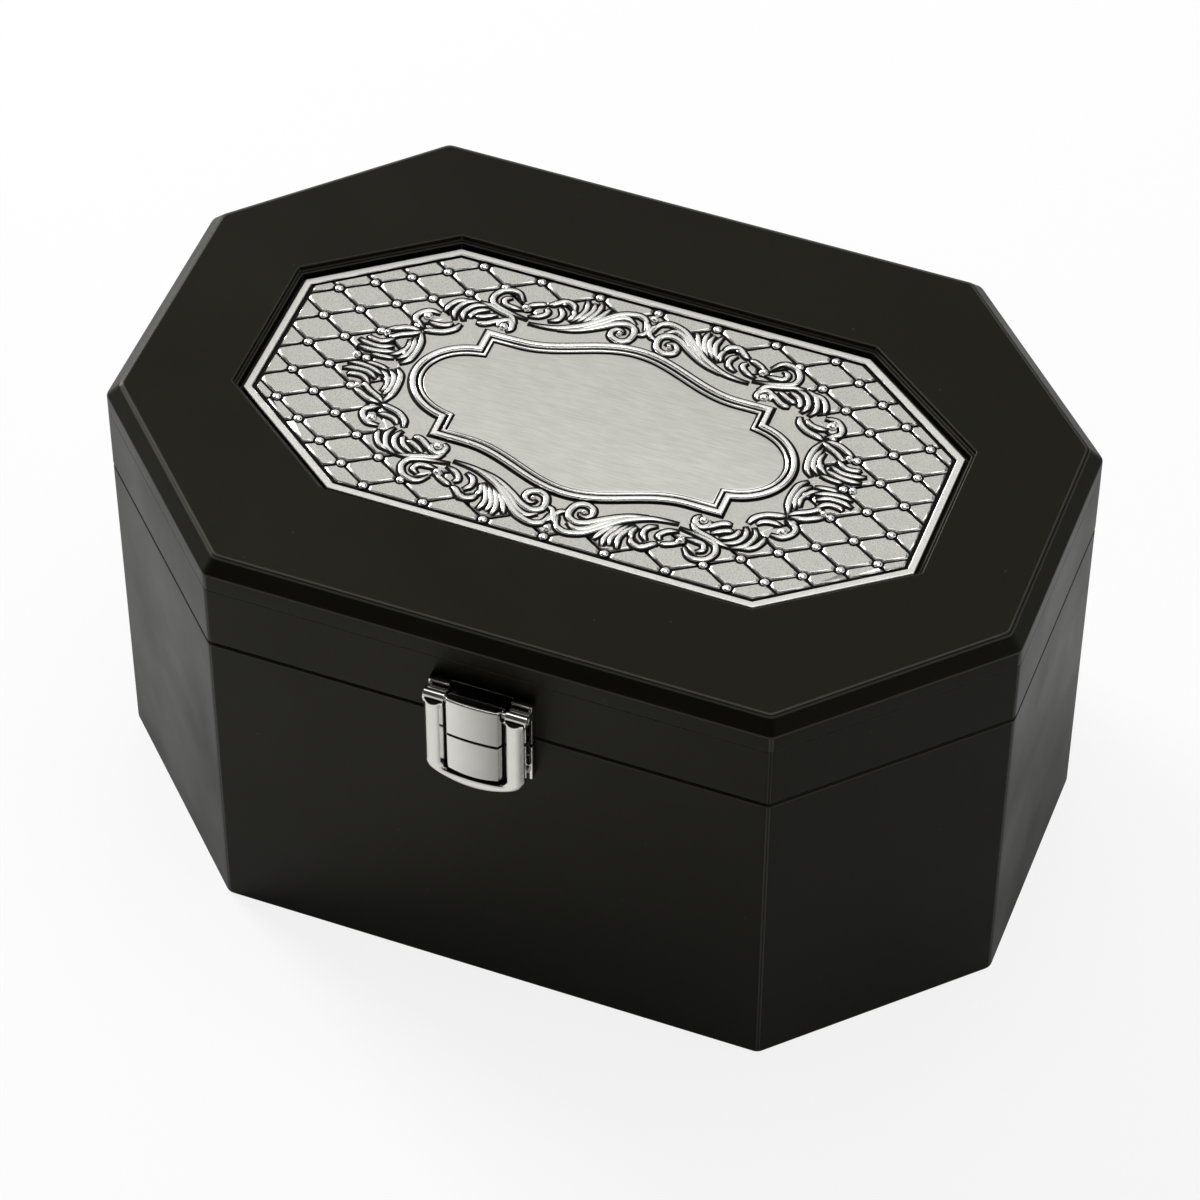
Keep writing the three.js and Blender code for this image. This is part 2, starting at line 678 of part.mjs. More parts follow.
// A ring of points at one height: the softened octagon drawn in, or an oval, by turns.
function softRing(inset, z) {
  const outline = octagon(SHELL, WALL + LINING_GAP + LINING + SOFT_GAP + inset);
  return RING_ANGLES.map((angle) => {
    const reach = softReach(outline, angle);
    return [reach * Math.cos(angle), reach * Math.sin(angle), z];
  });
}

function ovalRing(scale, z) {
  return RING_ANGLES.map((angle) => [
    (NEST_LENGTH / 2) * scale * Math.cos(angle),
    (NEST_WIDTH / 2) * scale * Math.sin(angle),
    z,
  ]);
}

const RING_POINTS = 48;
const RING_ANGLES = Array.from({ length: RING_POINTS }, (_, k) => (Math.PI * 2 * k) / RING_POINTS);

function lining(low, high) {
  const outside = upright(octagon(SHELL, WALL + LINING_GAP), low, high);
  const hollow = upright(octagon(SHELL, WALL + LINING_GAP + LINING), low - PAST, high + PAST);
  return outside.subtract(hollow);
}

// The cushion's side from its foot to its rolled rim: inset as a share of the roll, and share of the height.
const NEST_SIDE = [[0.32, 0], [0.04, 0.12], [0.14, 0.5], [0.04, 0.8], [0.28, 0.94], [0.9, 1.02]];

// The rim of the nest: share of the oval, and the rise above the cushion's height as a share of the roll.
const NEST_RIM = [[1.12, 0.18], [1.03, -0.12], [0.96, -0.8]];
const NEST_BOWL = [0.86, 0.7, 0.5, 0.28, 0.08];
const BOWL_FULLNESS = 0.9;

// A firm cushion with a rolled rim and an oval nest for the fruit.
function nestCushion() {
  const top = FLOOR + NEST_HEIGHT;
  return loft([
    ...NEST_SIDE.map(([inset, share]) => softRing(NEST_ROLL * inset, FLOOR + NEST_HEIGHT * share)),
    ...NEST_RIM.map(([scale, rise]) => ovalRing(scale, top + NEST_ROLL * rise)),
    ...NEST_BOWL.map((scale) => (
      ovalRing(scale, top - NEST_DEPTH * Math.sqrt(1 - scale * scale * BOWL_FULLNESS))
    )),
  ]);
}

// The pad's crown, from its middle to its side: inset as a share of the slope, and how far it hangs down as a
// share of the crown.
const PAD_PROFILE = [[0.95, 0.35], [0.6, 0.25], [0.25, 0], [0.075, -0.5], [0.015, -1]];

// The pad under the lid's board, crowned downwards.
function lidPad() {
  const top = BOARD_BOTTOM - LINING_GAP;
  const low = BOARD_BOTTOM - PAD_THICKNESS;
  return loft([
    ...PAD_PROFILE.map(([inset, share]) => softRing(PAD_SLOPE * inset, low - PAD_CROWN * share)),
    softRing(0, top - PAD_EDGE),
    softRing(PAD_EDGE, top),
  ]);
}

add(box, 'body_lining', lining(FLOOR, BODY_HEIGHT - LINING_DROP), VELVET);
add(box, 'nest_cushion', nestCushion(), VELVET);
add(lid, 'lid_lining', lining(LID_BOTTOM + LINING_DROP, BOARD_BOTTOM), VELVET);
add(lid, 'lid_pad', lidPad(), VELVET);

// Rear hinges

const MIDDLE_KNUCKLE = (LEAF_LENGTH * KNUCKLE_SHARE) / 2;
const OUTER_KNUCKLES = [-1, 1].map((side) => {
  const ends = [side * (MIDDLE_KNUCKLE + KNUCKLE_GAP), (side * LEAF_LENGTH) / 2];
  return [Math.min(...ends), Math.max(...ends)];
});

function hingeLeaf(x, low, knuckles) {
  const plate = block(x - LEAF_LENGTH / 2, x + LEAF_LENGTH / 2, BACK - LEAF_REACH, BACK, low, low + LEAF);
  const rolls = knuckles.map(([from, to]) => {
    const arm = block(x + from, x + to, BACK - PAST, HINGE_AXIS_Y, low, low + LEAF);
    return arm.add(rodAlongX(HINGE_BARREL, x + from, x + to, HINGE_AXIS_Y, SEAM));
  });
  const bore = HINGE_PIN + PIN_CLEARANCE;
  const hole = rodAlongX(bore, x - LEAF_LENGTH, x + LEAF_LENGTH, HINGE_AXIS_Y, SEAM, PIN_SIDES);
  return plate.add(joined(rolls)).subtract(hole);
}

function bodyLeaf(x) {
  const holes = leafScrewPlaces(x, BODY_LEAF_TOP).map((at) => screwHole(UP, at));
  return hingeLeaf(x, BODY_LEAF_TOP - LEAF, OUTER_KNUCKLES).subtract(joined(holes));
}

function lidLeaf(x) {
  const holes = leafScrewPlaces(x, LID_LEAF_BOTTOM).map((at) => screwHole(DOWN, at));
  return hingeLeaf(x, LID_LEAF_BOTTOM, [[-MIDDLE_KNUCKLE, MIDDLE_KNUCKLE]]).subtract(joined(holes));
}

function hingePin(x) {
  const half = LEAF_LENGTH / 2 - PIN_CLEARANCE;
  return rodAlongX(HINGE_PIN, x - half, x + half, HINGE_AXIS_Y, SEAM, PIN_SIDES);
}

for (const { side, x } of HINGES) {
  const hand = side < 0 ? 'left' : 'right';
  add(box, `hinge_${hand}_body_leaf`, bodyLeaf(x), STEEL);
  add(lid, `hinge_${hand}_lid_leaf`, lidLeaf(x), STEEL);
  add(box, `hinge_${hand}_pin`, hingePin(x), STEEL);
  leafScrewPlaces(x, BODY_LEAF_TOP).forEach((at, k) => {
    add(box, `hinge_${hand}_body_screw_${k + 1}`, screw(UP, at), STEEL);
  });
  leafScrewPlaces(x, LID_LEAF_BOTTOM).forEach((at, k) => {
    add(lid, `hinge_${hand}_lid_screw_${k + 1}`, screw(DOWN, at), STEEL);
  });
}

// Front latch

const flap = new THREE.Group();
lid.add(flap);

const PLATE_EDGE = LATCH_WIDTH / 2;
const EAR_START = PANEL_WIDTH / 2 + EAR_GAP;
const WEB_BACK = PIN_Y;
const WEB_FACE = PIN_Y - FLAP_WEB;
const PANEL_FACE = PIN_Y - PANEL_OUT;
const RAIL_FACE = PIN_Y - RAIL_OUT;
const FLAP_TOP = PIN_Z - LATCH_BARREL - KNUCKLE_GAP;
const FLAP_BOTTOM = PIN_Z - FLAP_DROP;
const CATCH_Y = FRONT - CATCH_OUT;
const CATCH_Z = SEAM - CATCH_DROP;

// A pressed plate on the wall with two cheeks that stand out at its sides.
function cheekedPlate(low, high) {
  const out = FRONT - LATCH_DEPTH;
  return joined([
    block(-PLATE_EDGE, PLATE_EDGE, FRONT - LATCH_PLATE, FRONT, low, high),
    block(-PLATE_EDGE, -PLATE_EDGE + LATCH_CHEEK, out, FRONT, low, high),
    block(PLATE_EDGE - LATCH_CHEEK, PLATE_EDGE, out, FRONT, low, high),
  ]);
}

function pinBore() {
  return rodAlongX(LATCH_PIN + PIN_CLEARANCE, -LATCH_WIDTH, LATCH_WIDTH, PIN_Y, PIN_Z, PIN_SIDES);
}

// The plate on the lid: above each ear its top edge is bent out as well.
function latchLidPlate() {
  const high = SEAM + LID_PLATE_HEIGHT;
  const lug = [
    [FRONT - LATCH_PLATE / 2, PIN_Z + LUG_RISE],
    [PIN_Y, PIN_Z + LUG_RISE],
    [PIN_Y, PIN_Z - LATCH_BARREL],
    [FRONT - LATCH_PLATE / 2, PIN_Z - LATCH_BARREL - LATCH_PLATE],
  ];
  const ears = [[-PLATE_EDGE, -EAR_START], [EAR_START, PLATE_EDGE]].map(([from, to]) => joined([
    crosswise(lug, from, to),
    rodAlongX(LATCH_BARREL, from, to, PIN_Y, PIN_Z),
    block(from, to, FRONT - LATCH_DEPTH, FRONT, high - LATCH_CHEEK, high),
  ]));
  const holes = plateScrewPlaces(LID_SCREW_X, LID_SCREW_Z).map((at) => screwHole(ACROSS, at));
  const plate = cheekedPlate(LID_BOTTOM + PLATE_SEAM_GAP, high);
  return plate.add(joined(ears)).subtract(joined([pinBore(), ...holes]));
}

function latchStrike() {
  const inner = PLATE_EDGE - LATCH_CHEEK / 2;
  const plate = cheekedPlate(SEAM - STRIKE_HEIGHT, BODY_HEIGHT - PLATE_SEAM_GAP);
  const bar = rodAlongX(CATCH_BAR, -inner, inner, CATCH_Y, CATCH_Z, PIN_SIDES);
  const shelf = block(-inner, inner, CATCH_Y, FRONT, CATCH_Z - CATCH_BAR / 2, CATCH_Z + CATCH_BAR / 2);
  const holes = plateScrewPlaces(STRIKE_SCREW_X, STRIKE_SCREW_Z).map((at) => screwHole(ACROSS, at));
  return joined([plate, bar, shelf]).subtract(joined(holes));
}

// An outline in X and Z, extruded from a back face towards the front, with rounded front edges.
function frontal(outline, back, face, round = 0) {
  const shape = new THREE.Shape(outline.map(([x, z]) => new THREE.Vector2(x, z)));
  const geometry = new THREE.ExtrudeGeometry(shape, {
    depth: back - face - round,
    bevelEnabled: round > 0,
    bevelThickness: round,
    bevelSize: round,
    bevelOffset: -round,
    bevelSegments: 3,
  });
  return solid(geometry.rotateX(Math.PI / 2).translate(0, back, 0));
}

// A sagging edge from the left end to the right: a parabola that is close to the real arc.
function sag(halfWidth, endZ, midZ) {
  return Array.from({ length: SAG_STEPS + 1 }, (_, k) => {
    const t = (2 * k) / SAG_STEPS - 1;
    return [t * halfWidth, midZ + (endZ - midZ) * t * t];
  });
}

// The middle panel, with round edges and a groove that parts its upper half from its lower half.
function latchPanel(lipTopEnd) {
  const half = PANEL_WIDTH / 2;
  const low = lipTopEnd + LIP_GAP;
  const top = PIN_Z + PANEL_TOP;
  const face = [[-half, top], ...sag(half, low, low - PANEL_SAG), [half, top]];
  const middle = (low + top) / 2;
  const split = [middle - PANEL_SPLIT / 2, middle + PANEL_SPLIT / 2];
  const cut = block(-half - PAST, half + PAST, PANEL_FACE - PAST, PANEL_FACE + PANEL_SPLIT, ...split);
  return frontal(face, WEB_BACK - PANEL_ROUND, PANEL_FACE, PANEL_ROUND).subtract(cut);
}

// A web with a round-edged rail down each side and a curved lip below, and between them the middle panel,
// which runs up past the knuckle on the pin. The rails are hollowed round the barrels of the ears.
function latchFlap() {
  const half = FLAP_WIDTH / 2;
  const railInner = PANEL_WIDTH / 2 + PANEL_GAP;
  const railTop = PIN_Z + RAIL_TOP;
  const lipEnd = FLAP_BOTTOM + LIP_SAG;
  const lipTopMiddle = FLAP_BOTTOM + LIP_HEIGHT;
  const lipTopEnd = lipTopMiddle + PANEL_SAG;
  const lower = sag(half, lipEnd, FLAP_BOTTOM);
  const web = [[-half, FLAP_TOP], ...lower, [half, FLAP_TOP]];
  const lipTop = sag(railInner, lipTopEnd, lipTopMiddle).reverse();
  const horseshoe = [[-half, railTop], ...lower, [half, railTop], [railInner, railTop], ...lipTop,
    [-railInner, railTop]];
  const hollow = rodAlongX(LATCH_BARREL + KNUCKLE_GAP, -LATCH_WIDTH, LATCH_WIDTH, PIN_Y, PIN_Z);
  return joined([
    frontal(web, WEB_BACK, WEB_FACE),
    frontal(horseshoe, WEB_BACK - RAIL_ROUND, RAIL_FACE, RAIL_ROUND).subtract(hollow),
    latchPanel(lipTopEnd),
    rodAlongX(LATCH_BARREL, -PANEL_WIDTH / 2, PANEL_WIDTH / 2, PIN_Y, PIN_Z),
  ]).subtract(pinBore());
}

function latchPin() {
  const half = PLATE_EDGE - PIN_CLEARANCE;
  return rodAlongX(LATCH_PIN, -half, half, PIN_Y, PIN_Z, PIN_SIDES);
}

// The spring leaf lies on the back of the flap and bulges towards the catch bar below the bar's middle.
function latchSpring() {
  const high = FLAP_TOP - SPRING_LEAF;
  const low = high - SPRING_LENGTH;
  const crest = CATCH_Z - CATCH_BAR;
  const seat = WEB_BACK;
  const bulge = CATCH_Y - CATCH_BAR - SNAP_CLEARANCE;
  const route = [
    [seat, high],
    [seat, crest + SPRING_BEND],
    [bulge - SPRING_LEAF, crest],
    [seat + SPRING_LIFT, low],
  ];
  const back = route.map(([y, z]) => [y + SPRING_LEAF, z]).reverse();
  return crosswise([...route, ...back], -SPRING_WIDTH / 2, SPRING_WIDTH / 2);
}

add(lid, 'latch_lid_plate', latchLidPlate(), SILVER);
add(lid, 'latch_pin', latchPin(), STEEL);
add(flap, 'latch_flap', latchFlap(), SILVER);
add(flap, 'latch_spring', latchSpring(), STEEL);
add(box, 'latch_strike', latchStrike(), SILVER);
plateScrewPlaces(LID_SCREW_X, LID_SCREW_Z).forEach((at, k) => {
  add(lid, `latch_lid_screw_${k + 1}`, screw(ACROSS, at), STEEL);
});
plateScrewPlaces(STRIKE_SCREW_X, STRIKE_SCREW_Z).forEach((at, k) => {
  add(box, `latch_strike_screw_${k + 1}`, screw(ACROSS, at), STEEL);
});

export default box;
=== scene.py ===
from math import acos, asin, atan, atan2, cos, hypot, pi, radians, sin, sqrt, tan

import bmesh
import bpy
import numpy as np
from mathutils import Matrix, Vector


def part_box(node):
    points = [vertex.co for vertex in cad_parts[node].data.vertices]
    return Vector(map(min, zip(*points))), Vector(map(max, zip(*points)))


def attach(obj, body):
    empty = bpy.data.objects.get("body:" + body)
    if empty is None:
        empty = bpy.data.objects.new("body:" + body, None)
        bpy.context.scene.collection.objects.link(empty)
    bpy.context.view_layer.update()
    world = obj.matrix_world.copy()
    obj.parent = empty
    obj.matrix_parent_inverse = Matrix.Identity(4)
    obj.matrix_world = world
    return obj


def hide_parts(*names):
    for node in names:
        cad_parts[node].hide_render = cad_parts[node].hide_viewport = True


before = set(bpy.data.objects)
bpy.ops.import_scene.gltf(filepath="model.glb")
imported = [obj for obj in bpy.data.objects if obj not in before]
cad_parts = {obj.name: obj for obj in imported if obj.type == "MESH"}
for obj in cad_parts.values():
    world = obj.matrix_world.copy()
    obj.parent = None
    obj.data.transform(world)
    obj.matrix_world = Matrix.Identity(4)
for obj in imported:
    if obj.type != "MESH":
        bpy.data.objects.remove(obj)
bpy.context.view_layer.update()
MM = 0.001

# Camera
# A long lens in front of the box and to its right, looking down on the lid. Its place was solved from the
# box's own corners in the picture, which is 1200 pixels wide.
AZIMUTH, ELEVATION, ROLL = (radians(angle) for angle in (20.42, 48.56, 0.30))
CAMERA_DISTANCE = 0.98748
LOOKED_AT = Vector((-0.00013, -0.00028, 0.045))
FOCAL_PIXELS = 5095.96
FRAME_PIXELS = 1200
SENSOR = 36
NEAREST, FARTHEST = 0.05, 40


def link(name, data):
    obj = bpy.data.objects.new(name, data)
    bpy.context.scene.collection.objects.link(obj)
    return obj


towards = Vector((sin(AZIMUTH) * cos(ELEVATION), -cos(AZIMUTH) * cos(ELEVATION), sin(ELEVATION)))
sideways = Vector((cos(AZIMUTH), sin(AZIMUTH), 0))
upward = towards.cross(sideways)
camera_x = sideways * cos(ROLL) + upward * sin(ROLL)
camera_y = upward * cos(ROLL) - sideways * sin(ROLL)
camera = link("camera", bpy.data.cameras.new("camera"))
camera.data.sensor_width = SENSOR
camera.data.lens = SENSOR * FOCAL_PIXELS / FRAME_PIXELS
camera.data.clip_start = NEAREST
camera.data.clip_end = FARTHEST
turn = Matrix((camera_x, camera_y, towards)).transposed().to_4x4()
camera.matrix_world = Matrix.Translation(LOOKED_AT + towards * CAMERA_DISTANCE) @ turn
bpy.context.scene.camera = camera
bpy.context.scene.view_settings.view_transform = "Standard"

# Floor, wall round it, and the light
# A white sheet under the box runs out to a white wall. A large softbox behind the box is what the lid
# mirrors, and a strong one behind it to the left lights the walls, with weaker ones above and to the right.
FLOOR_REACH = 6.0
WALL_HEIGHT = 2.6
WALL_SIDES = 96
WORLD_GREY = (0.05, 0.05, 0.05, 1)
# Where each softbox stands, its width and height, and its power.
SOFTBOXES = {
    "softbox_behind": ((-0.42, 1.15, 1.30), (1.7, 1.1), 5.4),
    "softbox_left": ((-1.7, 0.8, 0.9), (0.8, 0.8), 42),
    "softbox_right": ((1.6, -0.1, 1.3), (0.9, 0.9), 3),
    "softbox_above": ((0.1, 0.25, 1.9), (1.1, 1.1), 12),
}


def mesh_of(name, points, faces=(), edges=()):
    mesh = bpy.data.meshes.new(name)
    mesh.from_pydata([tuple(point) for point in points], edges, faces)
    mesh.validate()
    return mesh


def shader(name, **values):
    """A material, and its tree, with its Principled node's sockets set to plain values."""
    made = bpy.data.materials.new(name)
    made.use_nodes = True
    sockets = made.node_tree.nodes["Principled BSDF"].inputs
    for socket, value in values.items():
        sockets[socket.replace("_", " ").title().replace("Ior", "IOR")].default_value = value
    return made, made.node_tree


def node(tree, kind, numbered=(), **named):
    """A node with its settings, and its inputs, which have a capital, as values or as what feeds them."""
    made, inputs = tree.nodes.new(kind), dict(numbered)
    for key, value in named.items():
        if key[0].isupper():
            inputs[key.replace("_", " ")] = value
        else:
            setattr(made, key, value)
    for key, value in inputs.items():
        feeds = value if isinstance(value, list) else [value]
        if isinstance(feeds[0], bpy.types.NodeSocket):
            for feed in feeds:
                tree.links.new(feed, made.inputs[key])
        else:
            made.inputs[key].default_value = value
    return made


def output(tree, kind, numbered=(), **named):
    """What comes first out of a new node."""
    return node(tree, kind, numbered, **named).outputs[0]


def reckoned(tree, operation, *values):
    return output(tree, "ShaderNodeMath", dict(enumerate(values)), operation=operation)


def white_backdrop(name, colour, seen_share, glossy_share):
    """Matt white paper, which the camera and reflections see as mostly plain white, with its shadows."""
    made, tree = shader(name, base_color=colour, roughness=1.0, specular_ior_level=0.0)
    path = node(tree, "ShaderNodeLightPath").outputs
    seen = reckoned(tree, "MAXIMUM", path["Is Camera Ray"], path["Is Transmission Ray"])
    share = reckoned(tree, "MAXIMUM", reckoned(tree, "MULTIPLY", seen, seen_share),
                     reckoned(tree, "MULTIPLY", path["Is Glossy Ray"], glossy_share))
    white = output(tree, "ShaderNodeEmission", Color=(1, 1, 1, 1), Strength=1.0)
    paper = tree.nodes["Principled BSDF"].outputs[0]
    shown = output(tree, "ShaderNodeMixShader", {0: share, 1: paper, 2: white})
    tree.links.new(shown, tree.nodes["Material Output"].inputs["Surface"])
    return made


around_room = [2 * pi * k / WALL_SIDES for k in range(WALL_SIDES)]
floor_points = [(cos(a) * FLOOR_REACH, sin(a) * FLOOR_REACH, 0) for a in around_room]
wall_points = floor_points + [(x, y, WALL_HEIGHT) for x, y, _ in floor_points]
wall_faces = [[k, (k + 1) % WALL_SIDES, (k + 1) % WALL_SIDES + WALL_SIDES, k + WALL_SIDES]
              for k in range(WALL_SIDES)]
floor = link("floor", mesh_of("floor", floor_points, [list(range(WALL_SIDES))]))
wall = link("wall", mesh_of("wall", wall_points, wall_faces))
floor.data.materials.append(white_backdrop("white_paper", (0.96, 0.96, 0.96, 1), 0.85, 0.12))
wall.data.materials.append(white_backdrop("white_wall", (0.9, 0.9, 0.9, 1), 1.0, 0.6))

world = bpy.data.worlds.new("studio")
bpy.context.scene.world = world
world.use_nodes = True
world.node_tree.nodes["Background"].inputs["Color"].default_value = WORLD_GREY
for name, (place, (wide, high), power) in SOFTBOXES.items():
    lamp = bpy.data.lights.new(name, "AREA")
    lamp.shape = "RECTANGLE"
    lamp.size = wide
    lamp.size_y = high
    lamp.energy = power
    stand = link(name, lamp)
    stand.location = place
    stand.rotation_mode = "QUATERNION"
    stand.rotation_quaternion = Vector(place).to_track_quat("Z", "Y")

# Body of the box
# Eight boards mitred and glued into a shell, sanded, and sprayed with black satin lacquer inside and out.
# The arrises take a lighter lacquer, a painted highlight along each edge line.
LACQUER = (0.0024, 0.0023, 0.0014, 1)
LACQUER_WORN = (0.0042, 0.0041, 0.0027, 1)
LACQUER_SHINE = (1.0, 0.97, 0.68, 1)
# The lighter lacquer of the arrises, a painted highlight, and its cloudy variant.
ARRIS_HIGHLIGHT = (0.030, 0.030, 0.026, 1)
ARRIS_HIGHLIGHT_CLOUD = (0.055, 0.054, 0.048, 1)
DUST = (0.05, 0.05, 0.045, 1)
ARRIS_WIDTH = 0.22 * MM
ARRIS_STEPS = 3
BOARD_TURN, BOTTOM_TURN = 12, 20
SAME_POINT = 0.000004
SAME_PLANE = radians(0.6)


def on_object(tree):
    return node(tree, "ShaderNodeTexCoord").outputs["Object"]


def noise(tree, scale, detail, distortion=0.0, stretch=None):
    """Noise on Object coordinates, which may be stretched first."""
    place = on_object(tree)
    if stretch:
        place = output(tree, "ShaderNodeMapping", Vector=place, Scale=stretch)
    return output(tree, "ShaderNodeTexNoise", Vector=place, Scale=scale, Detail=detail, Distortion=distortion)


def ramp(tree, value, low, high, at_low=0.0, at_high=1.0, **settings):
    """A value that runs from at_low to at_high while another runs from low to high."""
    return output(tree, "ShaderNodeMapRange", {0: value, 1: low, 2: high, 3: at_low, 4: at_high}, **settings)


def mixed(tree, share, first, second, blend="MIX"):
    colours = node(tree, "ShaderNodeMix", {0: share, 6: first, 7: second}, data_type="RGBA", blend_type=blend)
    return colours.outputs[2]


def surfaced(tree, colour, relief, strength, depth, rough=None):
    """Gives a tree's shader its colour, its fine relief and, where it varies, its roughness."""
    sockets = tree.nodes["Principled BSDF"].inputs
    tree.links.new(colour, sockets["Base Color"])
    if rough:
        tree.links.new(rough, sockets["Roughness"])
    bump = output(tree, "ShaderNodeBump", Height=relief, Strength=strength, Distance=depth)
    tree.links.new(bump, sockets["Normal"])


def lacquer(name, colour, worn, rough):
    made, tree = shader(name, roughness=rough, specular_ior_level=0.12, specular_tint=LACQUER_SHINE)
    cloud = noise(tree, 38.0, 3.0)
    speck = node(tree, "ShaderNodeTexVoronoi", Vector=on_object(tree), Scale=150.0).outputs["Distance"]
    dusty = mixed(tree, ramp(tree, speck, 0.018, 0.04, 0.55, 0.0), mixed(tree, cloud, colour, worn), DUST)
    grain = noise(tree, 1.0, 4.0, stretch=(14.0, 420.0, 420.0))
    surfaced(tree, dusty, reckoned(tree, "ADD", grain, noise(tree, 900.0, 1.0)), 0.10, 0.00006,
             ramp(tree, cloud, 0.3, 0.7, rough - 0.05, rough + 0.06))
    return made


def settled(piece, body, slot, *nodes):
    """A piece that rides on a body and stands for nodes. Its slot is not used."""
    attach(piece, body)
    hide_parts(*nodes)
    return piece


def dressed(name, cad, body, slot, materials, arris, least_turn):
    """A piece made from a merged copy of a CAD node's mesh, with its arrises rounded."""
    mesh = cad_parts[cad].data.copy()
    mesh.name = name
    mesh.materials.clear()
    work = bmesh.new()
    work.from_mesh(mesh)
    bmesh.ops.remove_doubles(work, verts=work.verts, dist=SAME_POINT)
    bmesh.ops.dissolve_limit(work, angle_limit=SAME_PLANE, verts=work.verts, edges=work.edges)
    bmesh.ops.recalc_face_normals(work, faces=work.faces)
    work.to_mesh(mesh)
    work.free()
    for material in materials:
        mesh.materials.append(material)
    piece = link(name, mesh)
    mesh.shade_smooth()
    rounding = piece.modifiers.new("arris", "BEVEL")
    rounding.width = arris
    rounding.segments = ARRIS_STEPS
    rounding.limit_method = "ANGLE"
    rounding.angle_limit = radians(least_turn)
    rounding.miter_outer = "MITER_ARC"
    # The rounded arrises take the last material; on the lacquered pieces that is the lighter arris lacquer, a
    # painted highlight.
    rounding.material = len(materials) - 1
    piece.modifiers.new("flats", "WEIGHTED_NORMAL")
    return settled(piece, body, slot, cad)


lacquered = lacquer("black_lacquer", LACQUER, LACQUER_WORN, 0.38)
arris_lacquer_highlight = lacquer("arris_painted_highlight", ARRIS_HIGHLIGHT, ARRIS_HIGHLIGHT_CLOUD, 0.35)
dressed("box_body", "body_carcass", "body", "lacquer", [lacquered, arris_lacquer_highlight], ARRIS_WIDTH, BOARD_TURN)
dressed("box_bottom", "body_bottom", "body", "lacquer", [lacquered], ARRIS_WIDTH, BOTTOM_TURN)

# Lid of the box
# Eight lower walls in one ring, and on them the top board with its broad bevel and the stepped recess for
# the plaque, all lacquered as the body is.
dressed("lid_walls", "lid_frame", "lid", "lacquer", [lacquered, arris_lacquer_highlight], ARRIS_WIDTH, BOARD_TURN)
dressed("lid_board", "lid_top_board", "lid", "lacquer", [lacquered, arris_lacquer_highlight], ARRIS_WIDTH, BOARD_TURN)

# Plaque: the sheet
# One sheet of white metal pressed over a die, with a raised rim, darkened all over and then rubbed bright
# where it stands high. It lies on glue in its recess in the lid board.
PLAQUE = (132.6, 67.0, 24.8, 18.3)
SHEET_LOW = 93.4
SHEET_TOP = 94.4
RELIEF = 94.8
RIM_WIDTH = 1.5
RIM_GROOVE = 0.5
RIM_SECTION = [
    (0, SHEET_LOW), (0, 94.5), (0.06, 94.68), (0.18, 94.78), (0.32, RELIEF), (0.42, RELIEF), (1.10, RELIEF),
    (1.20, RELIEF), (1.34, 94.78), (1.45, 94.7), (RIM_WIDTH, 94.58), (1.56, 94.25), (1.95, 94.25),
    (2.02, SHEET_TOP), (2.2, SHEET_TOP)]
TARNISH = (0.012, 0.012, 0.011, 1)
SILVER_RIM = (0.72, 0.715, 0.67, 1)
SILVER_FLAT = (0.56, 0.55, 0.505, 1)
SILVER_EDGE = (0.97, 0.96, 0.93, 1)
STIPPLE = (3600.0, 3600.0, 3600.0)


def octagon(size, inset=0.0):
    """The eight corners, counter-clockwise, of an octagon drawn in from its outer size."""
    length, width, cut_x, cut_y = size
    a, b, slope = length / 2 - inset, width / 2 - inset, hypot(cut_x, cut_y)
    reach = ((length / 2) * cut_y + (width / 2 - cut_y) * cut_x) / slope - inset
    y, x = (reach * slope - a * cut_y) / cut_x, (reach * slope - b * cut_x) / cut_y
    return [(a, -y), (a, y), (x, b), (-x, b), (-a, y), (-a, -y), (-x, -b), (x, -b)]


def level(outline, z):
    return [(x, y, z) for x, y in outline]


def loft(name, rings, ends=True):
    """Rings of (x, y, z) points in mm joined one above the other, closed at the ends or round on itself."""
    count = len(rings[0])
    points = [Vector(point) * MM for ring in rings for point in ring]
    faces = []
    for low in range(len(rings) - 1 if ends else len(rings)):
        high = (low + 1) % len(rings)
        for k in range(count):
            after = (k + 1) % count
            faces.append([low * count + k, low * count + after, high * count + after, high * count + k])
    if ends:
        faces += [list(range(count))[::-1], [len(points) - count + k for k in range(count)]]
    mesh = mesh_of(name, points, faces)
    work = bmesh.new()
    work.from_mesh(mesh)
    bmesh.ops.recalc_face_normals(work, faces=work.faces)
    work.to_mesh(mesh)
    work.free()
    mesh.shade_smooth()
    return mesh


def part_of(tree, coordinate, axis):
    """X, Y or Z of where a point is (Object) or of the way that it faces (Normal)."""
    place = node(tree, "ShaderNodeTexCoord").outputs[coordinate]
    return node(tree, "ShaderNodeSeparateXYZ", {0: place}).outputs[axis]


def silver(name, dark_below, bright_above, flat, rough, strength=0.25, edge=SILVER_EDGE, grain=STIPPLE):
    """Metal that is black low in the relief, grey on level ground and bright on edges and slopes, partly
    rubbed wear and partly painted highlight.
    """
    made, tree = shader(name, metallic=1.0, roughness=rough)
    raised = ramp(tree, part_of(tree, "Object", 2), dark_below * MM, bright_above * MM,
                  interpolation_type="SMOOTHSTEP")
    stipple = noise(tree, 1.0, 2.0, stretch=grain)
    toned = mixed(tree, noise(tree, 260.0, 3.0), [c * 0.88 for c in flat[:3]] + [1], flat)
    toned = mixed(tree, 1.0, toned, ramp(tree, stipple, 0.35, 0.65, 0.90, 1.06), "MULTIPLY")
    # Faces that tilt away from level take the bright edge colour: partly rubbed wear, partly painted
    # highlight.
    worn = mixed(tree, ramp(tree, part_of(tree, "Normal", 2), 0.995, 0.90), toned, edge)
    surfaced(tree, mixed(tree, raised, TARNISH, worn), stipple, strength, 0.00004,
             ramp(tree, stipple, 0.3, 0.7, rough - 0.05, rough + 0.06))
    return made


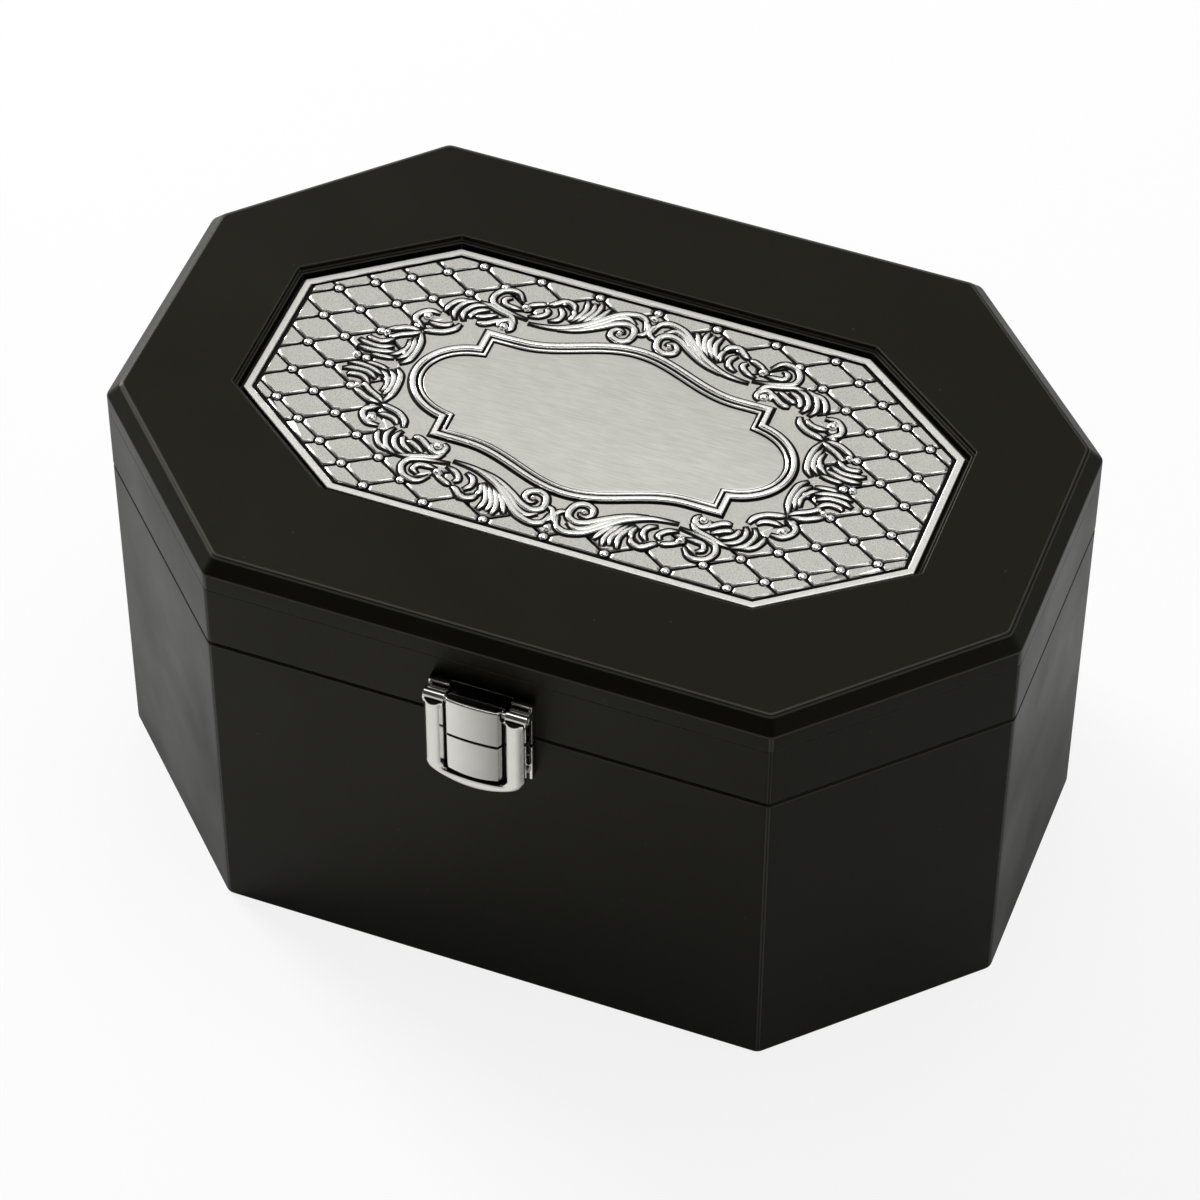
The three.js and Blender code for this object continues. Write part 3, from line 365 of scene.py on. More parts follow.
def plain_piece(name, mesh, material, body, slot, *nodes):
    """A piece in one material."""
    mesh.materials.clear()
    mesh.materials.append(material)
    return settled(link(name, mesh), body, slot, *nodes)


def of_plaque(name, mesh, material):
    return plain_piece(name, mesh, material, "lid", "plaque_metal", "plaque")


sheet = loft("plaque_sheet", [level(octagon(PLAQUE, inset), z) for inset, z in RIM_SECTION])
sheet.shade_flat()
of_plaque("plaque_sheet", sheet, silver("pressed_silver", 94.45, 94.62, SILVER_RIM, 0.34))

# Plaque: the lattice of pillows and the beads at its crossings
# Diamond pillows stand up between crossing grooves, each with its corners cut round for the bead at the
# crossing. The die cuts them off at the rim, and they run in under the scrolls.
LATTICE_X = 5.94
LATTICE_Y = 3.82
LATTICE_COLUMNS = range(-12, 13)
LATTICE_ROWS = range(-10, 11)
GROOVE = 0.2
PILLOW_RISE = 0.4
PILLOW_DRAW = 0.12
# The steps of a pillow's side: its share of the rise, and how much of the drawing in comes at its top.
PILLOW_STEPS = ((0.42, 0.36), (0.28, 0.27), (0.18, 0.24), (0.12, 0.28), (0.0, 0.1))
LEAST_PILLOW = 0.5
BEAD = 0.86
BEAD_ROOM = 1.14
BEAD_MIDDLE = 94.6
BEAD_DOME = 0.55
BEAD_METAL = (0.90, 0.895, 0.86, 1)
GROUND_EDGE = [(0, 26.6), (11, 25.4), (19, 21.4), (27, 21.2), (33, 19.2), (38, 14.6), (40.6, 9), (41.4, 0)]
MERGED = 0.000001


def smoothed(points, steps):
    """A smooth curve through the points, with so many steps between each two."""
    given = np.array(points, float)
    padded = np.vstack([2 * given[0] - given[1], given, 2 * given[-1] - given[-2]])
    curve = []
    for k in range(len(given) - 1):
        a, b, c, d = padded[k:k + 4]
        for t in np.arange(steps) / steps:
            curve.append(0.5 * (2 * b + (c - a) * t + (2 * a - 5 * b + 4 * c - d) * t ** 2
                                + (3 * b - a - 3 * c + d) * t ** 3))
    return curve + [given[-1]]


def mirrored(quarter):
    """A quarter from the top middle to the right end, mirrored into a closed counter-clockwise outline."""
    right = [(x, -y) for x, y in quarter][:-1] + quarter[::-1]
    return right[:-1] + [(-x, -y) for x, y in right[:-1]]


def sides_of(outline):
    return zip(outline, outline[1:] + outline[:1])


def inside(x, y, outline):
    crossings = 0
    for (x0, y0), (x1, y1) in sides_of(outline):
        if (y0 > y) != (y1 > y) and x < x0 + (y - y0) / (y1 - y0) * (x1 - x0):
            crossings += 1
    return crossings % 2 == 1


def clipped(polygon, outline):
    """What a convex outline leaves of a polygon."""
    for (x0, y0), (x1, y1) in sides_of(outline):
        kept = []
        for (xa, ya), (xb, yb) in sides_of(polygon):
            side_a = (x1 - x0) * (ya - y0) - (y1 - y0) * (xa - x0)
            side_b = (x1 - x0) * (yb - y0) - (y1 - y0) * (xb - x0)
            if side_a >= 0:
                kept.append((xa, ya))
            if (side_a > 0) != (side_b > 0) and side_a != side_b:
                t = side_a / (side_a - side_b)
                kept.append((xa + (xb - xa) * t, ya + (yb - ya) * t))
        polygon = kept
        if len(polygon) < 3:
            return []
    return polygon


def pillow(x, y):
    """A diamond's outline, with each corner cut on an arc round its bead."""
    outline = []
    shallow, steep = LATTICE_Y / LATTICE_X, LATTICE_X / LATTICE_Y
    corners = ((LATTICE_X, 0, pi, shallow), (0, LATTICE_Y, 1.5 * pi, steep),
               (-LATTICE_X, 0, 0, shallow), (0, -LATTICE_Y, 0.5 * pi, steep))
    for corner_x, corner_y, axis, slope in corners:
        opening = atan(slope) - asin(GROOVE / BEAD_ROOM)
        for share in (1, 0.4, -0.4, -1):
            angle = axis + share * opening
            outline.append((x + corner_x + BEAD_ROOM * cos(angle), y + corner_y + BEAD_ROOM * sin(angle)))
    return outline


def area(polygon):
    return sum(xa * yb - xb * ya for (xa, ya), (xb, yb) in sides_of(polygon)) / 2


def begun(name, sizes):
    """A Geometry Nodes tree with its named sizes as inputs, what they give, and what adds a node to it."""
    tree = bpy.data.node_groups.new(name, "GeometryNodeTree")
    tree.interface.new_socket("Geometry", in_out="INPUT", socket_type="NodeSocketGeometry")
    for label, kind in sizes.items():
        tree.interface.new_socket(label, in_out="INPUT", socket_type="NodeSocket" + kind)
    tree.interface.new_socket("Geometry", in_out="OUTPUT", socket_type="NodeSocketGeometry")

    def shape(kind, **named):
        return output(tree, "GeometryNode" + kind, **named)

    return tree, node(tree, "NodeGroupInput").outputs, shape


def ended(tree, shape, geometry, material, smooth=True):
    """Ends a tree in real geometry that has its material."""
    if smooth:
        geometry = shape("SetShadeSmooth", Geometry=geometry)
    real = shape("RealizeInstances", Geometry=geometry)
    node(tree, "NodeGroupOutput", {0: shape("SetMaterial", Geometry=real, Material=material)})


def grown(name, source, tree, values):
    """The plain mesh that a Geometry Nodes tree makes from a source mesh."""
    bearer = link(name, source)
    modifier = bearer.modifiers.new("nodes", "NODES")
    modifier.node_group = tree
    for item in tree.interface.items_tree:
        if item.in_out == "INPUT" and item.name in values:
            modifier[item.identifier] = values[item.name]
    mesh = bpy.data.meshes.new_from_object(bearer.evaluated_get(bpy.context.evaluated_depsgraph_get()))
    bpy.data.objects.remove(bearer)
    mesh.name = name
    return mesh


def beads(name, points, sizes, dome):
    source = mesh_of(name, points)
    source.attributes.new("size", "FLOAT", "POINT").data.foreach_set("value", sizes)
    mesh = grown(name, source, bead_tree, {"Radius": BEAD * MM, "Dome": dome, "Metal": bead_metal})
    return of_plaque(name, mesh, bead_metal)


ground_outline = mirrored([tuple(point) for point in smoothed(GROUND_EDGE, 4)])
pillow_limit = octagon(PLAQUE, RIM_WIDTH + RIM_GROOVE + 0.22)
bead_limit = octagon(PLAQUE, RIM_WIDTH + RIM_GROOVE + 0.6)
pillow_points, pillow_faces, bead_points = [], [], []
for column in LATTICE_COLUMNS:
    for row in LATTICE_ROWS:
        x, y = column * LATTICE_X, row * LATTICE_Y
        if (column + row) % 2:
            outline = clipped(pillow(x, y), pillow_limit)
            hidden = all(inside(*point, ground_outline) for point in outline)
            if not hidden and area(outline) > LEAST_PILLOW:
                first = len(pillow_points)
                pillow_faces.append(list(range(first, first + len(outline))))
                pillow_points += [(px * MM, py * MM, SHEET_TOP * MM) for px, py in outline]
        elif inside(x, y, bead_limit) and not inside(x, y, ground_outline):
            bead_points.append((x * MM, y * MM, BEAD_MIDDLE * MM))

pillow_tree, given, shape = begun("pillows", {"Rise": "Float", "Draw In": "Float", "Metal": "Material"})
top, raised = True, given["Geometry"]
for rise_share, draw_share in PILLOW_STEPS:
    pulled = node(pillow_tree, "GeometryNodeExtrudeMesh", mode="FACES", Mesh=raised, Selection=top,
                  Offset_Scale=reckoned(pillow_tree, "MULTIPLY", given["Rise"], rise_share))
    top = pulled.outputs["Top"]
    shrink = reckoned(pillow_tree, "MULTIPLY_ADD", given["Draw In"], -draw_share, 1.0)
    raised = shape("ScaleElements", Geometry=pulled.outputs["Mesh"], Selection=top, Scale=shrink)
whole = shape("JoinGeometry", Geometry=[raised, shape("FlipFaces", Mesh=given["Geometry"])])
ended(pillow_tree, shape, shape("MergeByDistance", Geometry=whole, Distance=MERGED), given["Metal"])
pillow_metal = silver("pillow_silver", 94.45, 94.62, SILVER_FLAT, 0.3)
pillows = grown("plaque_pillows", mesh_of("pillow_outlines", pillow_points, pillow_faces), pillow_tree,
                {"Rise": PILLOW_RISE * MM, "Draw In": PILLOW_DRAW, "Metal": pillow_metal})
of_plaque("plaque_pillows", pillows, pillow_metal)

bead_tree, given, shape = begun("beads", {"Radius": "Float", "Dome": "Float", "Metal": "Material"})
ball = shape("MeshUVSphere", Segments=14, Rings=8, Radius=given["Radius"])
size = shape("InputNamedAttribute", Name="size")
domed = output(bead_tree, "ShaderNodeCombineXYZ", {0: size, 1: size, 2: given["Dome"]})
strewn = shape("InstanceOnPoints", Points=given["Geometry"], Instance=ball, Scale=domed)
ended(bead_tree, shape, strewn, given["Metal"])
bead_metal = silver("bead_silver", 94.66, 94.82, BEAD_METAL, 0.26, 0.1)
beads("plaque_beads", bead_points, [1.0] * len(bead_points), BEAD_DOME)

# Plaque: the ground, the moulding and the bare field
# Inside the lattice the sheet is raised to the height of the pillows. A double moulding with stepped
# corners stands on it round a plain field, which is brushed lengthwise.
GROUND = 94.82
GROUND_SECTION = ((0, SHEET_TOP), (0, 94.66), (0.08, 94.76), (0.2, GROUND), (0.4, GROUND))
FIELD_TOP = 19.6
FIELD_SHOULDER = 13.9
NOTCH_X = 28.2
WAVE_REACH, WAVE_STEPS = 22, 20
LOBE_CENTRE, LOBE_REACH, LOBE_HEIGHT, LOBE_STEPS = 26, 11.4, 9.6, 18
MOULDING_OUT = 0.65
# How far in from the moulding's outline, and how high above the ground.
MOULDING_SECTION = [
    (0, -0.3), (0.04, 0.3), (0.12, 0.5), (0.24, 0.61), (0.4, 0.655), (0.6, 0.67), (0.8, 0.655), (0.96, 0.61),
    (1.08, 0.5), (1.16, 0.3), (1.2, 0.0), (1.62, 0.0), (1.67, 0.2), (1.74, 0.34), (1.85, 0.4), (2.05, 0.4),
    (2.16, 0.34), (2.23, 0.2), (2.28, -0.3)]
STRIP_OUT, STRIP_IN, STRIP_TOP = -0.52, 2.62, GROUND + 0.02
FIELD_SECTION = ((2.55, SHEET_TOP), (2.55, GROUND), (2.6, GROUND + 0.04), (2.75, GROUND + 0.05))
PATINA_AND_SHADE = (0.008, 0.008, 0.007, 1)
MOULDING_METAL = (0.93, 0.925, 0.89, 1)
FIELD_METAL = (0.58, 0.572, 0.53, 1)
FIELD_BRUSHING = (260.0, 6500.0, 900.0)


def drawn_in(outline, distance):
    """A closed outline moved inwards, with mitred corners."""
    moved = []
    for k, (x, y) in enumerate(outline):
        here = Vector((x, y))
        before = (here - Vector(outline[k - 1])).normalized()
        after = (Vector(outline[(k + 1) % len(outline)]) - here).normalized()
        inward = Vector((-before.y - after.y, before.x + after.x)).normalized()
        stretch = distance / (inward.x * -before.y + inward.y * before.x)
        moved.append((x + inward.x * stretch, y + inward.y * stretch))
    return moved


def bordered(name, outline, section, material, ends=True):
    """A piece of the plaque that follows an outline, with a section of insets and heights."""
    rings = [level(drawn_in(outline, inset), z) for inset, z in section]
    return of_plaque(name, loft(name, rings, ends), material)


wave = [(WAVE_REACH * k / WAVE_STEPS,
         FIELD_SHOULDER + (FIELD_TOP - FIELD_SHOULDER) * (1 + cos(pi * k / WAVE_STEPS)) / 2)
        for k in range(WAVE_STEPS + 1)]
lobe_start = acos((NOTCH_X - LOBE_CENTRE) / LOBE_REACH)
lobe_angles = [lobe_start * (1 - k / LOBE_STEPS) for k in range(LOBE_STEPS + 1)]
lobe = [(LOBE_CENTRE + LOBE_REACH * cos(angle), LOBE_HEIGHT * sin(angle)) for angle in lobe_angles]
moulding_outline = drawn_in(mirrored(wave + [(NOTCH_X, FIELD_SHOULDER)] + lobe), -MOULDING_OUT)
bordered("plaque_ground", ground_outline, GROUND_SECTION,
         silver("ground_silver", 94.5, 94.74, SILVER_FLAT, 0.36))
# Black metal: patina in the plaque's hollows, and painted shade where the latch uses it.
patina_and_shade_metal, _ = shader("patina_and_painted_shade", base_color=PATINA_AND_SHADE, metallic=0.6, roughness=0.6,
                         specular_ior_level=0.1)
bordered("plaque_moulding_groove", moulding_outline,
         ((STRIP_OUT, SHEET_TOP), (STRIP_OUT, STRIP_TOP), (STRIP_IN, STRIP_TOP), (STRIP_IN, SHEET_TOP)),
         patina_and_shade_metal, ends=False)
bordered("plaque_moulding", moulding_outline, [(inset, GROUND + rise) for inset, rise in MOULDING_SECTION],
         silver("moulding_silver", 94.96, 95.14, MOULDING_METAL, 0.22, 0.12), ends=False)
bordered("plaque_field", moulding_outline, FIELD_SECTION,
         silver("brushed_field", 94.5, 94.8, FIELD_METAL, 0.33, 0.1, grain=FIELD_BRUSHING))

# Plaque: scrolls and leaves
# Rounded ribs as a graver leaves them, grouped into a curling leaf over each shoulder of the moulding, one
# at each corner and one at each end. Each is listed for one quarter, with its breadth, and mirrored.
RIBS = [
    (1.0, [(0.75, 25.1), (1.1, 27), (1.9, 28), (3.6, 28.4), (6.4, 27.5), (8.7, 25.5), (10.8, 23.4),
           (13, 21.6), (16.5, 19.9), (19.4, 19.3), (22.3, 19.1)]),
    (0.9, [(2.9, 25.8), (4.8, 26.9), (6.9, 26.1), (9, 24.1), (11.2, 22.3), (13.7, 20.9)]),
    (1.0, [(16.5, 19.5), (13.6, 20.3), (11.2, 21.5), (8.7, 23.2), (6.5, 24.8), (4.4, 25.4), (2.8, 24.7),
           (2.4, 23.2), (3, 21.4), (4.6, 20.7), (6.2, 21.3), (6.6, 22.6), (5.8, 23.6), (4.7, 23.5),
           (4.3, 22.6)]),
    (0.8, [(2.2, 23.4), (0.8, 24), (0.2, 25.2), (0.6, 26.6), (1.6, 27.4)]),
    (0.8, [(8.7, 28.2), (10, 25.5), (11.6, 23.4)]),
    (0.8, [(10.9, 29.2), (10.7, 27), (11.6, 24.5), (12.9, 22.7)]),
    (0.8, [(12.1, 28.7), (11.8, 26.6), (12.7, 24.5), (13.9, 22.3)]),
    (0.8, [(13.7, 28.9), (13.1, 26.6), (13.6, 24.5), (15, 22)]),
    (0.8, [(15.3, 25.6), (14.8, 24.1), (15.4, 22.3)]),
    (0.9, [(15, 25.2), (15.8, 26.6), (17.6, 27), (19.4, 25.5), (20.4, 25.2)]),
    (0.8, [(18, 25.2), (16.9, 23.7), (17.2, 22), (19, 20.9)]),
    (0.8, [(20.4, 24.1), (19.7, 23), (20.8, 21.6), (23, 20.7)]),
    (0.8, [(20.6, 25), (22.2, 24.4), (24.3, 23.2)]),
    (0.9, [(25, 24.1), (26.4, 25.9), (28, 26.2), (29.8, 25.5), (30.8, 23.7), (30.4, 22), (29, 21.1),
           (26, 20.4), (22.5, 19.9)]),
    (0.8, [(27.3, 24.5), (28.5, 23.6), (28, 22.3), (26.2, 22), (24.3, 22.1)]),
    (0.9, [(27.3, 16.2), (27.4, 17.6), (26.1, 18.4), (24.9, 17.6), (24.8, 16.3), (25.6, 15.6)]),
    (0.9, [(24.4, 17.9), (25.8, 19.5), (28.3, 20.2), (30.4, 20.9), (33, 21.3)]),
    (0.9, [(26.9, 18.4), (29.7, 16.2), (31.6, 15.9)]),
    (0.8, [(28.3, 19.2), (30.8, 17.7), (32.4, 17.3)]),
    (0.8, [(30.2, 19.9), (32.2, 18.8), (33.1, 17.4), (32.9, 16.3)]),
    (0.8, [(30.8, 20.9), (33.3, 19.9), (34.5, 18.1), (34.5, 16.7), (33.8, 15.2)]),
    (0.8, [(33, 21.3), (35.1, 20.2), (36.1, 18.4), (36.3, 16.7), (35.4, 14.9)]),
    (0.8, [(34.7, 20.9), (36.8, 19.9), (37.9, 18.1), (38.1, 16.3)]),
    (0.9, [(34, 14.5), (34.7, 12.7), (36.5, 11.3), (39, 10.6), (40.1, 10.2)]),
    (0.8, [(35.4, 14.2), (36.5, 13.1), (38.3, 12.7), (40.2, 12.9)]),
    (0.9, [(38.6, 15.6), (40.8, 15.6), (42.4, 14.2), (42.6, 12.7), (41.5, 11.7), (40.1, 10.9)]),
    (0.9, [(40.1, 9.6), (39.3, 7.1), (39.2, 4.6), (39.7, 2.1), (41.1, 0.5)]),
    (0.8, [(40.8, 8.1), (40.2, 5.6), (40.6, 3.1), (42.2, 1.4)]),
    (0.7, [(41.5, 7.4), (41.1, 5.3), (42.2, 3.1), (44, 1.9)]),
    (0.8, [(40.1, 9.9), (41.5, 8.9), (43.6, 7.8), (45.1, 6.7), (45.6, 7.6)]),
    (0.9, [(40.8, 10.2), (43.2, 9.9), (45, 9), (46.8, 8.1)]),
    (0.8, [(44.3, 6.4), (46.1, 4.9), (48.3, 4.9), (49.3, 5.6)]),
    (0.8, [(43.6, 4.6), (45.8, 3.5), (48.6, 3.5), (50.8, 4.2)]),
    (0.8, [(43, 3.2), (45.4, 2.4), (47.9, 2.1), (50.4, 2.4)]),
    (0.7, [(42.4, 1.6), (45.1, 1.2), (47.2, 1.2)]),
]
BALLS = [(24, 22.8, 0.8), (26.2, 16.6, 0.9), (40.6, 14.2, 1.0), (5.0, 22.6, 0.5), (46.2, 7.4, 0.7),
         (0, 28.6, 0.8), (49.4, 0, 0.8)]
BALL_DOME = 0.85
QUARTERS = ((1, 1), (-1, 1), (-1, -1), (1, -1))
RIB_STEPS = 6
RIB_BREADTH = 1.2
RIB_HEIGHT, STRIP_HEIGHT = 1.0, 0.06
STRIP_WIDER = 0.46
RIB_METAL = (0.80, 0.795, 0.76, 1)
RIB_EDGE = (0.9, 0.895, 0.86, 1)


def rib_lines(name, wider):
    """The ribs' middle lines in all four quarters, with half the breadth at each point."""
    points, edges, breadths = [], [], []
    for flip_x, flip_y in QUARTERS:
        for breadth, route in RIBS:
            line = smoothed(route, RIB_STEPS)
            for k, (x, y) in enumerate(line):
                share = k / (len(line) - 1)
                taper = min(1.0, 0.45 + 2.6 * share, 0.3 + 2.6 * (1 - share))
                if k:
                    edges.append((len(points) - 1, len(points)))
                points.append((flip_x * x * MM, flip_y * y * MM, GROUND * MM))
                breadths.append((breadth * RIB_BREADTH * taper / 2 + wider) * MM)
    mesh = mesh_of(name, points, edges=edges)
    mesh.attributes.new("breadth", "FLOAT", "POINT").data.foreach_set("value", breadths)
    return mesh


rib_tree, given, shape = begun("ribs", {"Height": "Float", "Metal": "Material"})
line = shape("SetCurveNormal", Curve=shape("MeshToCurve", Mesh=given["Geometry"]), mode="Z_UP")
square = shape("CurvePrimitiveQuadrilateral", Width=2.0, Height=1.5)
rounded_off = shape("FilletCurve", Curve=square, Radius=0.62, Count=3, mode="POLY")
squashed = output(rib_tree, "ShaderNodeCombineXYZ", {0: 1.0, 1: given["Height"], 2: 1.0})
profile = shape("Transform", Geometry=rounded_off, Scale=squashed)
broad = shape("InputNamedAttribute", Name="breadth")
tube = shape("CurveToMesh", Curve=line, Profile_Curve=profile, Scale=broad, Fill_Caps=True)
ended(rib_tree, shape, tube, given["Metal"])
rib_metal = silver("rib_silver", 94.96, 95.14, RIB_METAL, 0.24, 0.12, RIB_EDGE)
for name, wider, height, metal in (("plaque_ribs", 0, RIB_HEIGHT, rib_metal),
                                   ("plaque_rib_grooves", STRIP_WIDER, STRIP_HEIGHT, patina_and_shade_metal)):
    lines = rib_lines(name, wider)
    of_plaque(name, grown(name, lines, rib_tree, {"Height": height, "Metal": metal}), metal)
balls = sorted({(flip_x * x, flip_y * y, size) for x, y, size in BALLS for flip_x, flip_y in QUARTERS})
beads("plaque_scroll_balls", [(x * MM, y * MM, GROUND * MM) for x, y, size in balls],
      [size / BEAD for x, y, size in balls], BALL_DOME)

# Front latch: the plates
# Nickel plated pressed steel. The plate on the lid has its sides bent out and two ears rolled round the pin,
# and the strike plate below the seam has the same sides and a bar that the flap's spring snaps over.
FRONT = -60.5
NICKEL = (0.84, 0.825, 0.775, 1)
POLISHING = (900.0, 900.0, 900.0)
PLATE_ARRIS = 0.14 * MM
PLATE_TURN = 30


def nickel(name, colour, rough, lines, strength):
    made, tree = shader(name, metallic=1.0, roughness=rough)
    brushed = noise(tree, 1.0, 3.0, stretch=lines)
    handled = mixed(tree, noise(tree, 190.0, 3.0), [c * 0.86 for c in colour[:3]] + [1], colour)
    surfaced(tree, handled, brushed, strength, 0.00003,
             ramp(tree, brushed, 0.3, 0.7, rough - 0.04, rough + 0.06))
    return made


def paint_shade(metal, share):
    """Multiplies a metal's colour by a share from its own tree, as painted shade."""
    tree = metal.node_tree
    colour = tree.nodes["Principled BSDF"].inputs["Base Color"]
    tree.links.new(mixed(tree, 1.0, colour.links[0].from_socket, share, "MULTIPLY"), colour)


polished = nickel("polished_nickel", NICKEL, 0.13, POLISHING, 0.06)
shaded_nickel = nickel("nickel_painted_shade", NICKEL, 0.15, POLISHING, 0.06)
# Painted shade: this nickel is darkened to 0.22 next to the wall and to 0.12 on faces that turn downwards.
tree = shaded_nickel.node_tree
wall_shade = ramp(tree, part_of(tree, "Object", 1), -0.0616, -0.0621, 0.22, 1.0)
under_shade = ramp(tree, part_of(tree, "Normal", 2), -0.35, -0.05, 0.12, 1.0)
paint_shade(shaded_nickel, reckoned(tree, "MINIMUM", wall_shade, under_shade))
dressed("latch_ears", "latch_lid_plate", "lid", "nickel", [shaded_nickel], PLATE_ARRIS, PLATE_TURN)
dressed("latch_catch_plate", "latch_strike", "body", "nickel", [shaded_nickel], PLATE_ARRIS, PLATE_TURN)

# Front latch: the flap
# Pressed from one sheet: a rail down each side with its edges chamfered, and a curved lip below. A panel,
# brushed across and parted by a groove, is let in between them, and its sheet is rolled round the pin.
FLAP_HALF = 9.7
FLAP_LOW = 63.0
FLAP_SAG = 3.6
RAIL_INNER = 5.95
RAIL_OUT = 6.5
# How far a rail's ends are drawn in at the three topmost heights.
RAIL_END = {84.1: 0.35, 84.06: 0.17, 83.96: 0.06}
WEB_BACK, WEB_FACE, WEB_TOP = 3.9, 4.5, 82.1
SHEET_FOOT = WEB_FACE - 0.3
RAIL_HEIGHTS = (*RAIL_END, 83.8, 83.5, 83.2, 82.9, 82.5, 82.2, WEB_TOP, 78.0, 73.0, 69.4)
OUTER_CORNER = [(FLAP_HALF, 68.3), (9.63, 67.3), (9.15, 66.34), (8.0, 65.45), (6.6, 64.67)]
INNER_CORNER = [(RAIL_INNER, 67.6), (5.94, 67.0), (5.86, 66.62), (5.66, 66.4), (5.2, 66.24)]
LIP_TOP = 65.7
LIP_START, LIP_BLEND = 68.3, 2.5
LIP_DARK_TOP, LIP_DARK_HALF = 66.9 * MM, 5.3 * MM
END_SAG = 0.7
# Across a rail and across the lip: the share of the width, and how far out it stands.
RAIL_SECTION = [(0, 0), (0, 5.0), (0.02, 5.12), (0.13, 5.8), (0.145, 5.88), (0.18, 6.02), (0.25, 6.22),
                (0.36, 6.42), (0.5, RAIL_OUT), (0.64, 6.42), (0.75, 6.22), (0.82, 6.02), (0.855, 5.88),
                (0.87, 5.8), (0.98, 5.12), (1, 5.0), (1, 0)]
LIP_SECTION = [(0, 0), (0, 5.3), (0.02, 5.5), (0.06, 5.85), (0.11, 6.06), (0.17, 6.22), (0.26, 6.36),
               (0.38, 6.46), (0.52, RAIL_OUT), (0.66, 6.46), (0.78, 6.36), (0.86, 6.25), (0.91, 6.14),
               (0.945, 6.0), (0.975, 5.8), (0.99, 5.6), (1, 0)]
PIN_OUT, PIN_UP, BARREL, BARREL_ROOM = 3.9, 83.7, 1.3, 1.6
ROLL_ENDS = ((-5.4, 0.12), (-5.3, 0.02), (-5.2, 0), (5.2, 0), (5.3, 0.02), (5.4, 0.12))
TONGUE = [(WEB_BACK, 81.0), (WEB_FACE, 81.0), (WEB_FACE, 83.6), (3.2, 83.6), (3.05, 82.9), (3.35, 82.55),
          (WEB_BACK, 82.3)]
PANEL_HALF, PANEL_LOW, PANEL_TOP = 5.45, 66.45, 86.0
# Above PANEL_CLEAR the panel's back stands further out, clear of the pin.
PANEL_BACK, PANEL_CLEAR = 4.62, 81.5
GROOVE_LOW, GROOVE_HIGH, GROOVE_DEPTH = 76.28, 76.88, 0.9
# The panel's face at each distance from its middle, and how far its ends are drawn in there.
PANEL_FACES = [(PANEL_HALF, 5.1, 0.14), (5.44, 5.22, 0.04), (5.42, 5.3, 0), (5.03, 5.94, 0), (5.0, 6.0, 0),
               (4.95, 6.05, 0), (4.87, 6.09, 0), (4.7, 6.125, 0), (3.6, 6.24, 0), (2.4, 6.33, 0),
               (1.2, 6.383, 0), (0, 6.4, 0)]


def of_flap(name, solids, metal, in_shade):
    """A piece from several lofted solids, given the black metal as painted shade where the test of a face's
    middle and normal says so.
    """
    work = bmesh.new()
    for solid_rings in solids:
        part = loft("part", solid_rings)
        work.from_mesh(part)
        bpy.data.meshes.remove(part)
    mesh = bpy.data.meshes.new(name)
    work.to_mesh(mesh)
    work.free()
    mesh.shade_smooth()
    mesh.materials.append(metal)
    mesh.materials.append(patina_and_shade_metal)
    for face in mesh.polygons:
        face.material_index = int(in_shade(face.center, face.normal))
    piece = link(name, mesh)
    piece.modifiers.new("flats", "WEIGHTED_NORMAL")
    return settled(piece, "flap", "nickel", "latch_flap")


def section_at(x, profile):
    """A side profile of (out from the wall, up) points, placed at one X."""
    return [(x, FRONT - out, up) for out, up in profile]


# Down the right rail, round its corner and along the lip to the middle: the outer edge and the inner one.
outer_edge = [(FLAP_HALF, z) for z in RAIL_HEIGHTS] + [tuple(point) for point in smoothed(OUTER_CORNER, 4)]
outer_edge += [(x, FLAP_LOW + FLAP_SAG * (x / FLAP_HALF) ** 2) for x in (5.2, 3.9, 2.6, 1.3, 0)]
inner_edge = [(RAIL_INNER, z) for z in RAIL_HEIGHTS] + [tuple(point) for point in smoothed(INNER_CORNER, 4)]
inner_edge += [(x, LIP_TOP + END_SAG * (x / RAIL_INNER) ** 2) for x in (4.2, 3.2, 2.1, 1.05, 0)]
edge_pairs = list(zip(outer_edge, inner_edge))
edge_pairs += [((-x, z), (-u, w)) for (x, z), (u, w) in edge_pairs[-2::-1]]
rail_rings = []
for (x, z), (u, w) in edge_pairs:
    room = sqrt(max(0.0, BARREL_ROOM ** 2 - (z - PIN_UP) ** 2)) if z >= WEB_TOP else 0.0
    back, drawn = max(SHEET_FOOT, PIN_OUT + room), RAIL_END.get(z, 0.0)
    margin = drawn / hypot(u - x, w - z)
    lip_share = max(0.0, min(1.0, (LIP_START - z) / LIP_BLEND))
    ring = []
    for (share, out), (lip_across, lip_out) in zip(RAIL_SECTION, LIP_SECTION):
        share, out = share + (lip_across - share) * lip_share, out + (lip_out - out) * lip_share
        share = min(1 - margin, max(margin, share))
        stands = max(back + 0.02 * (out > 0), out - drawn)
        ring.append((x + (u - x) * share, FRONT - stands, z + (w - z) * share))
    rail_rings.append(ring)
# Painted shade: the rails' backs and top ends above the web, and the lip's upward faces inside, take the
# black metal.
of_flap("latch_flap_rails", [rail_rings], polished, lambda middle, way:
        (middle.z > WEB_TOP * MM and (way.y > 0.2 or way.z > 0.9))
        or (middle.z < LIP_DARK_TOP and way.z > 0.8 and abs(middle.x) < LIP_DARK_HALF))

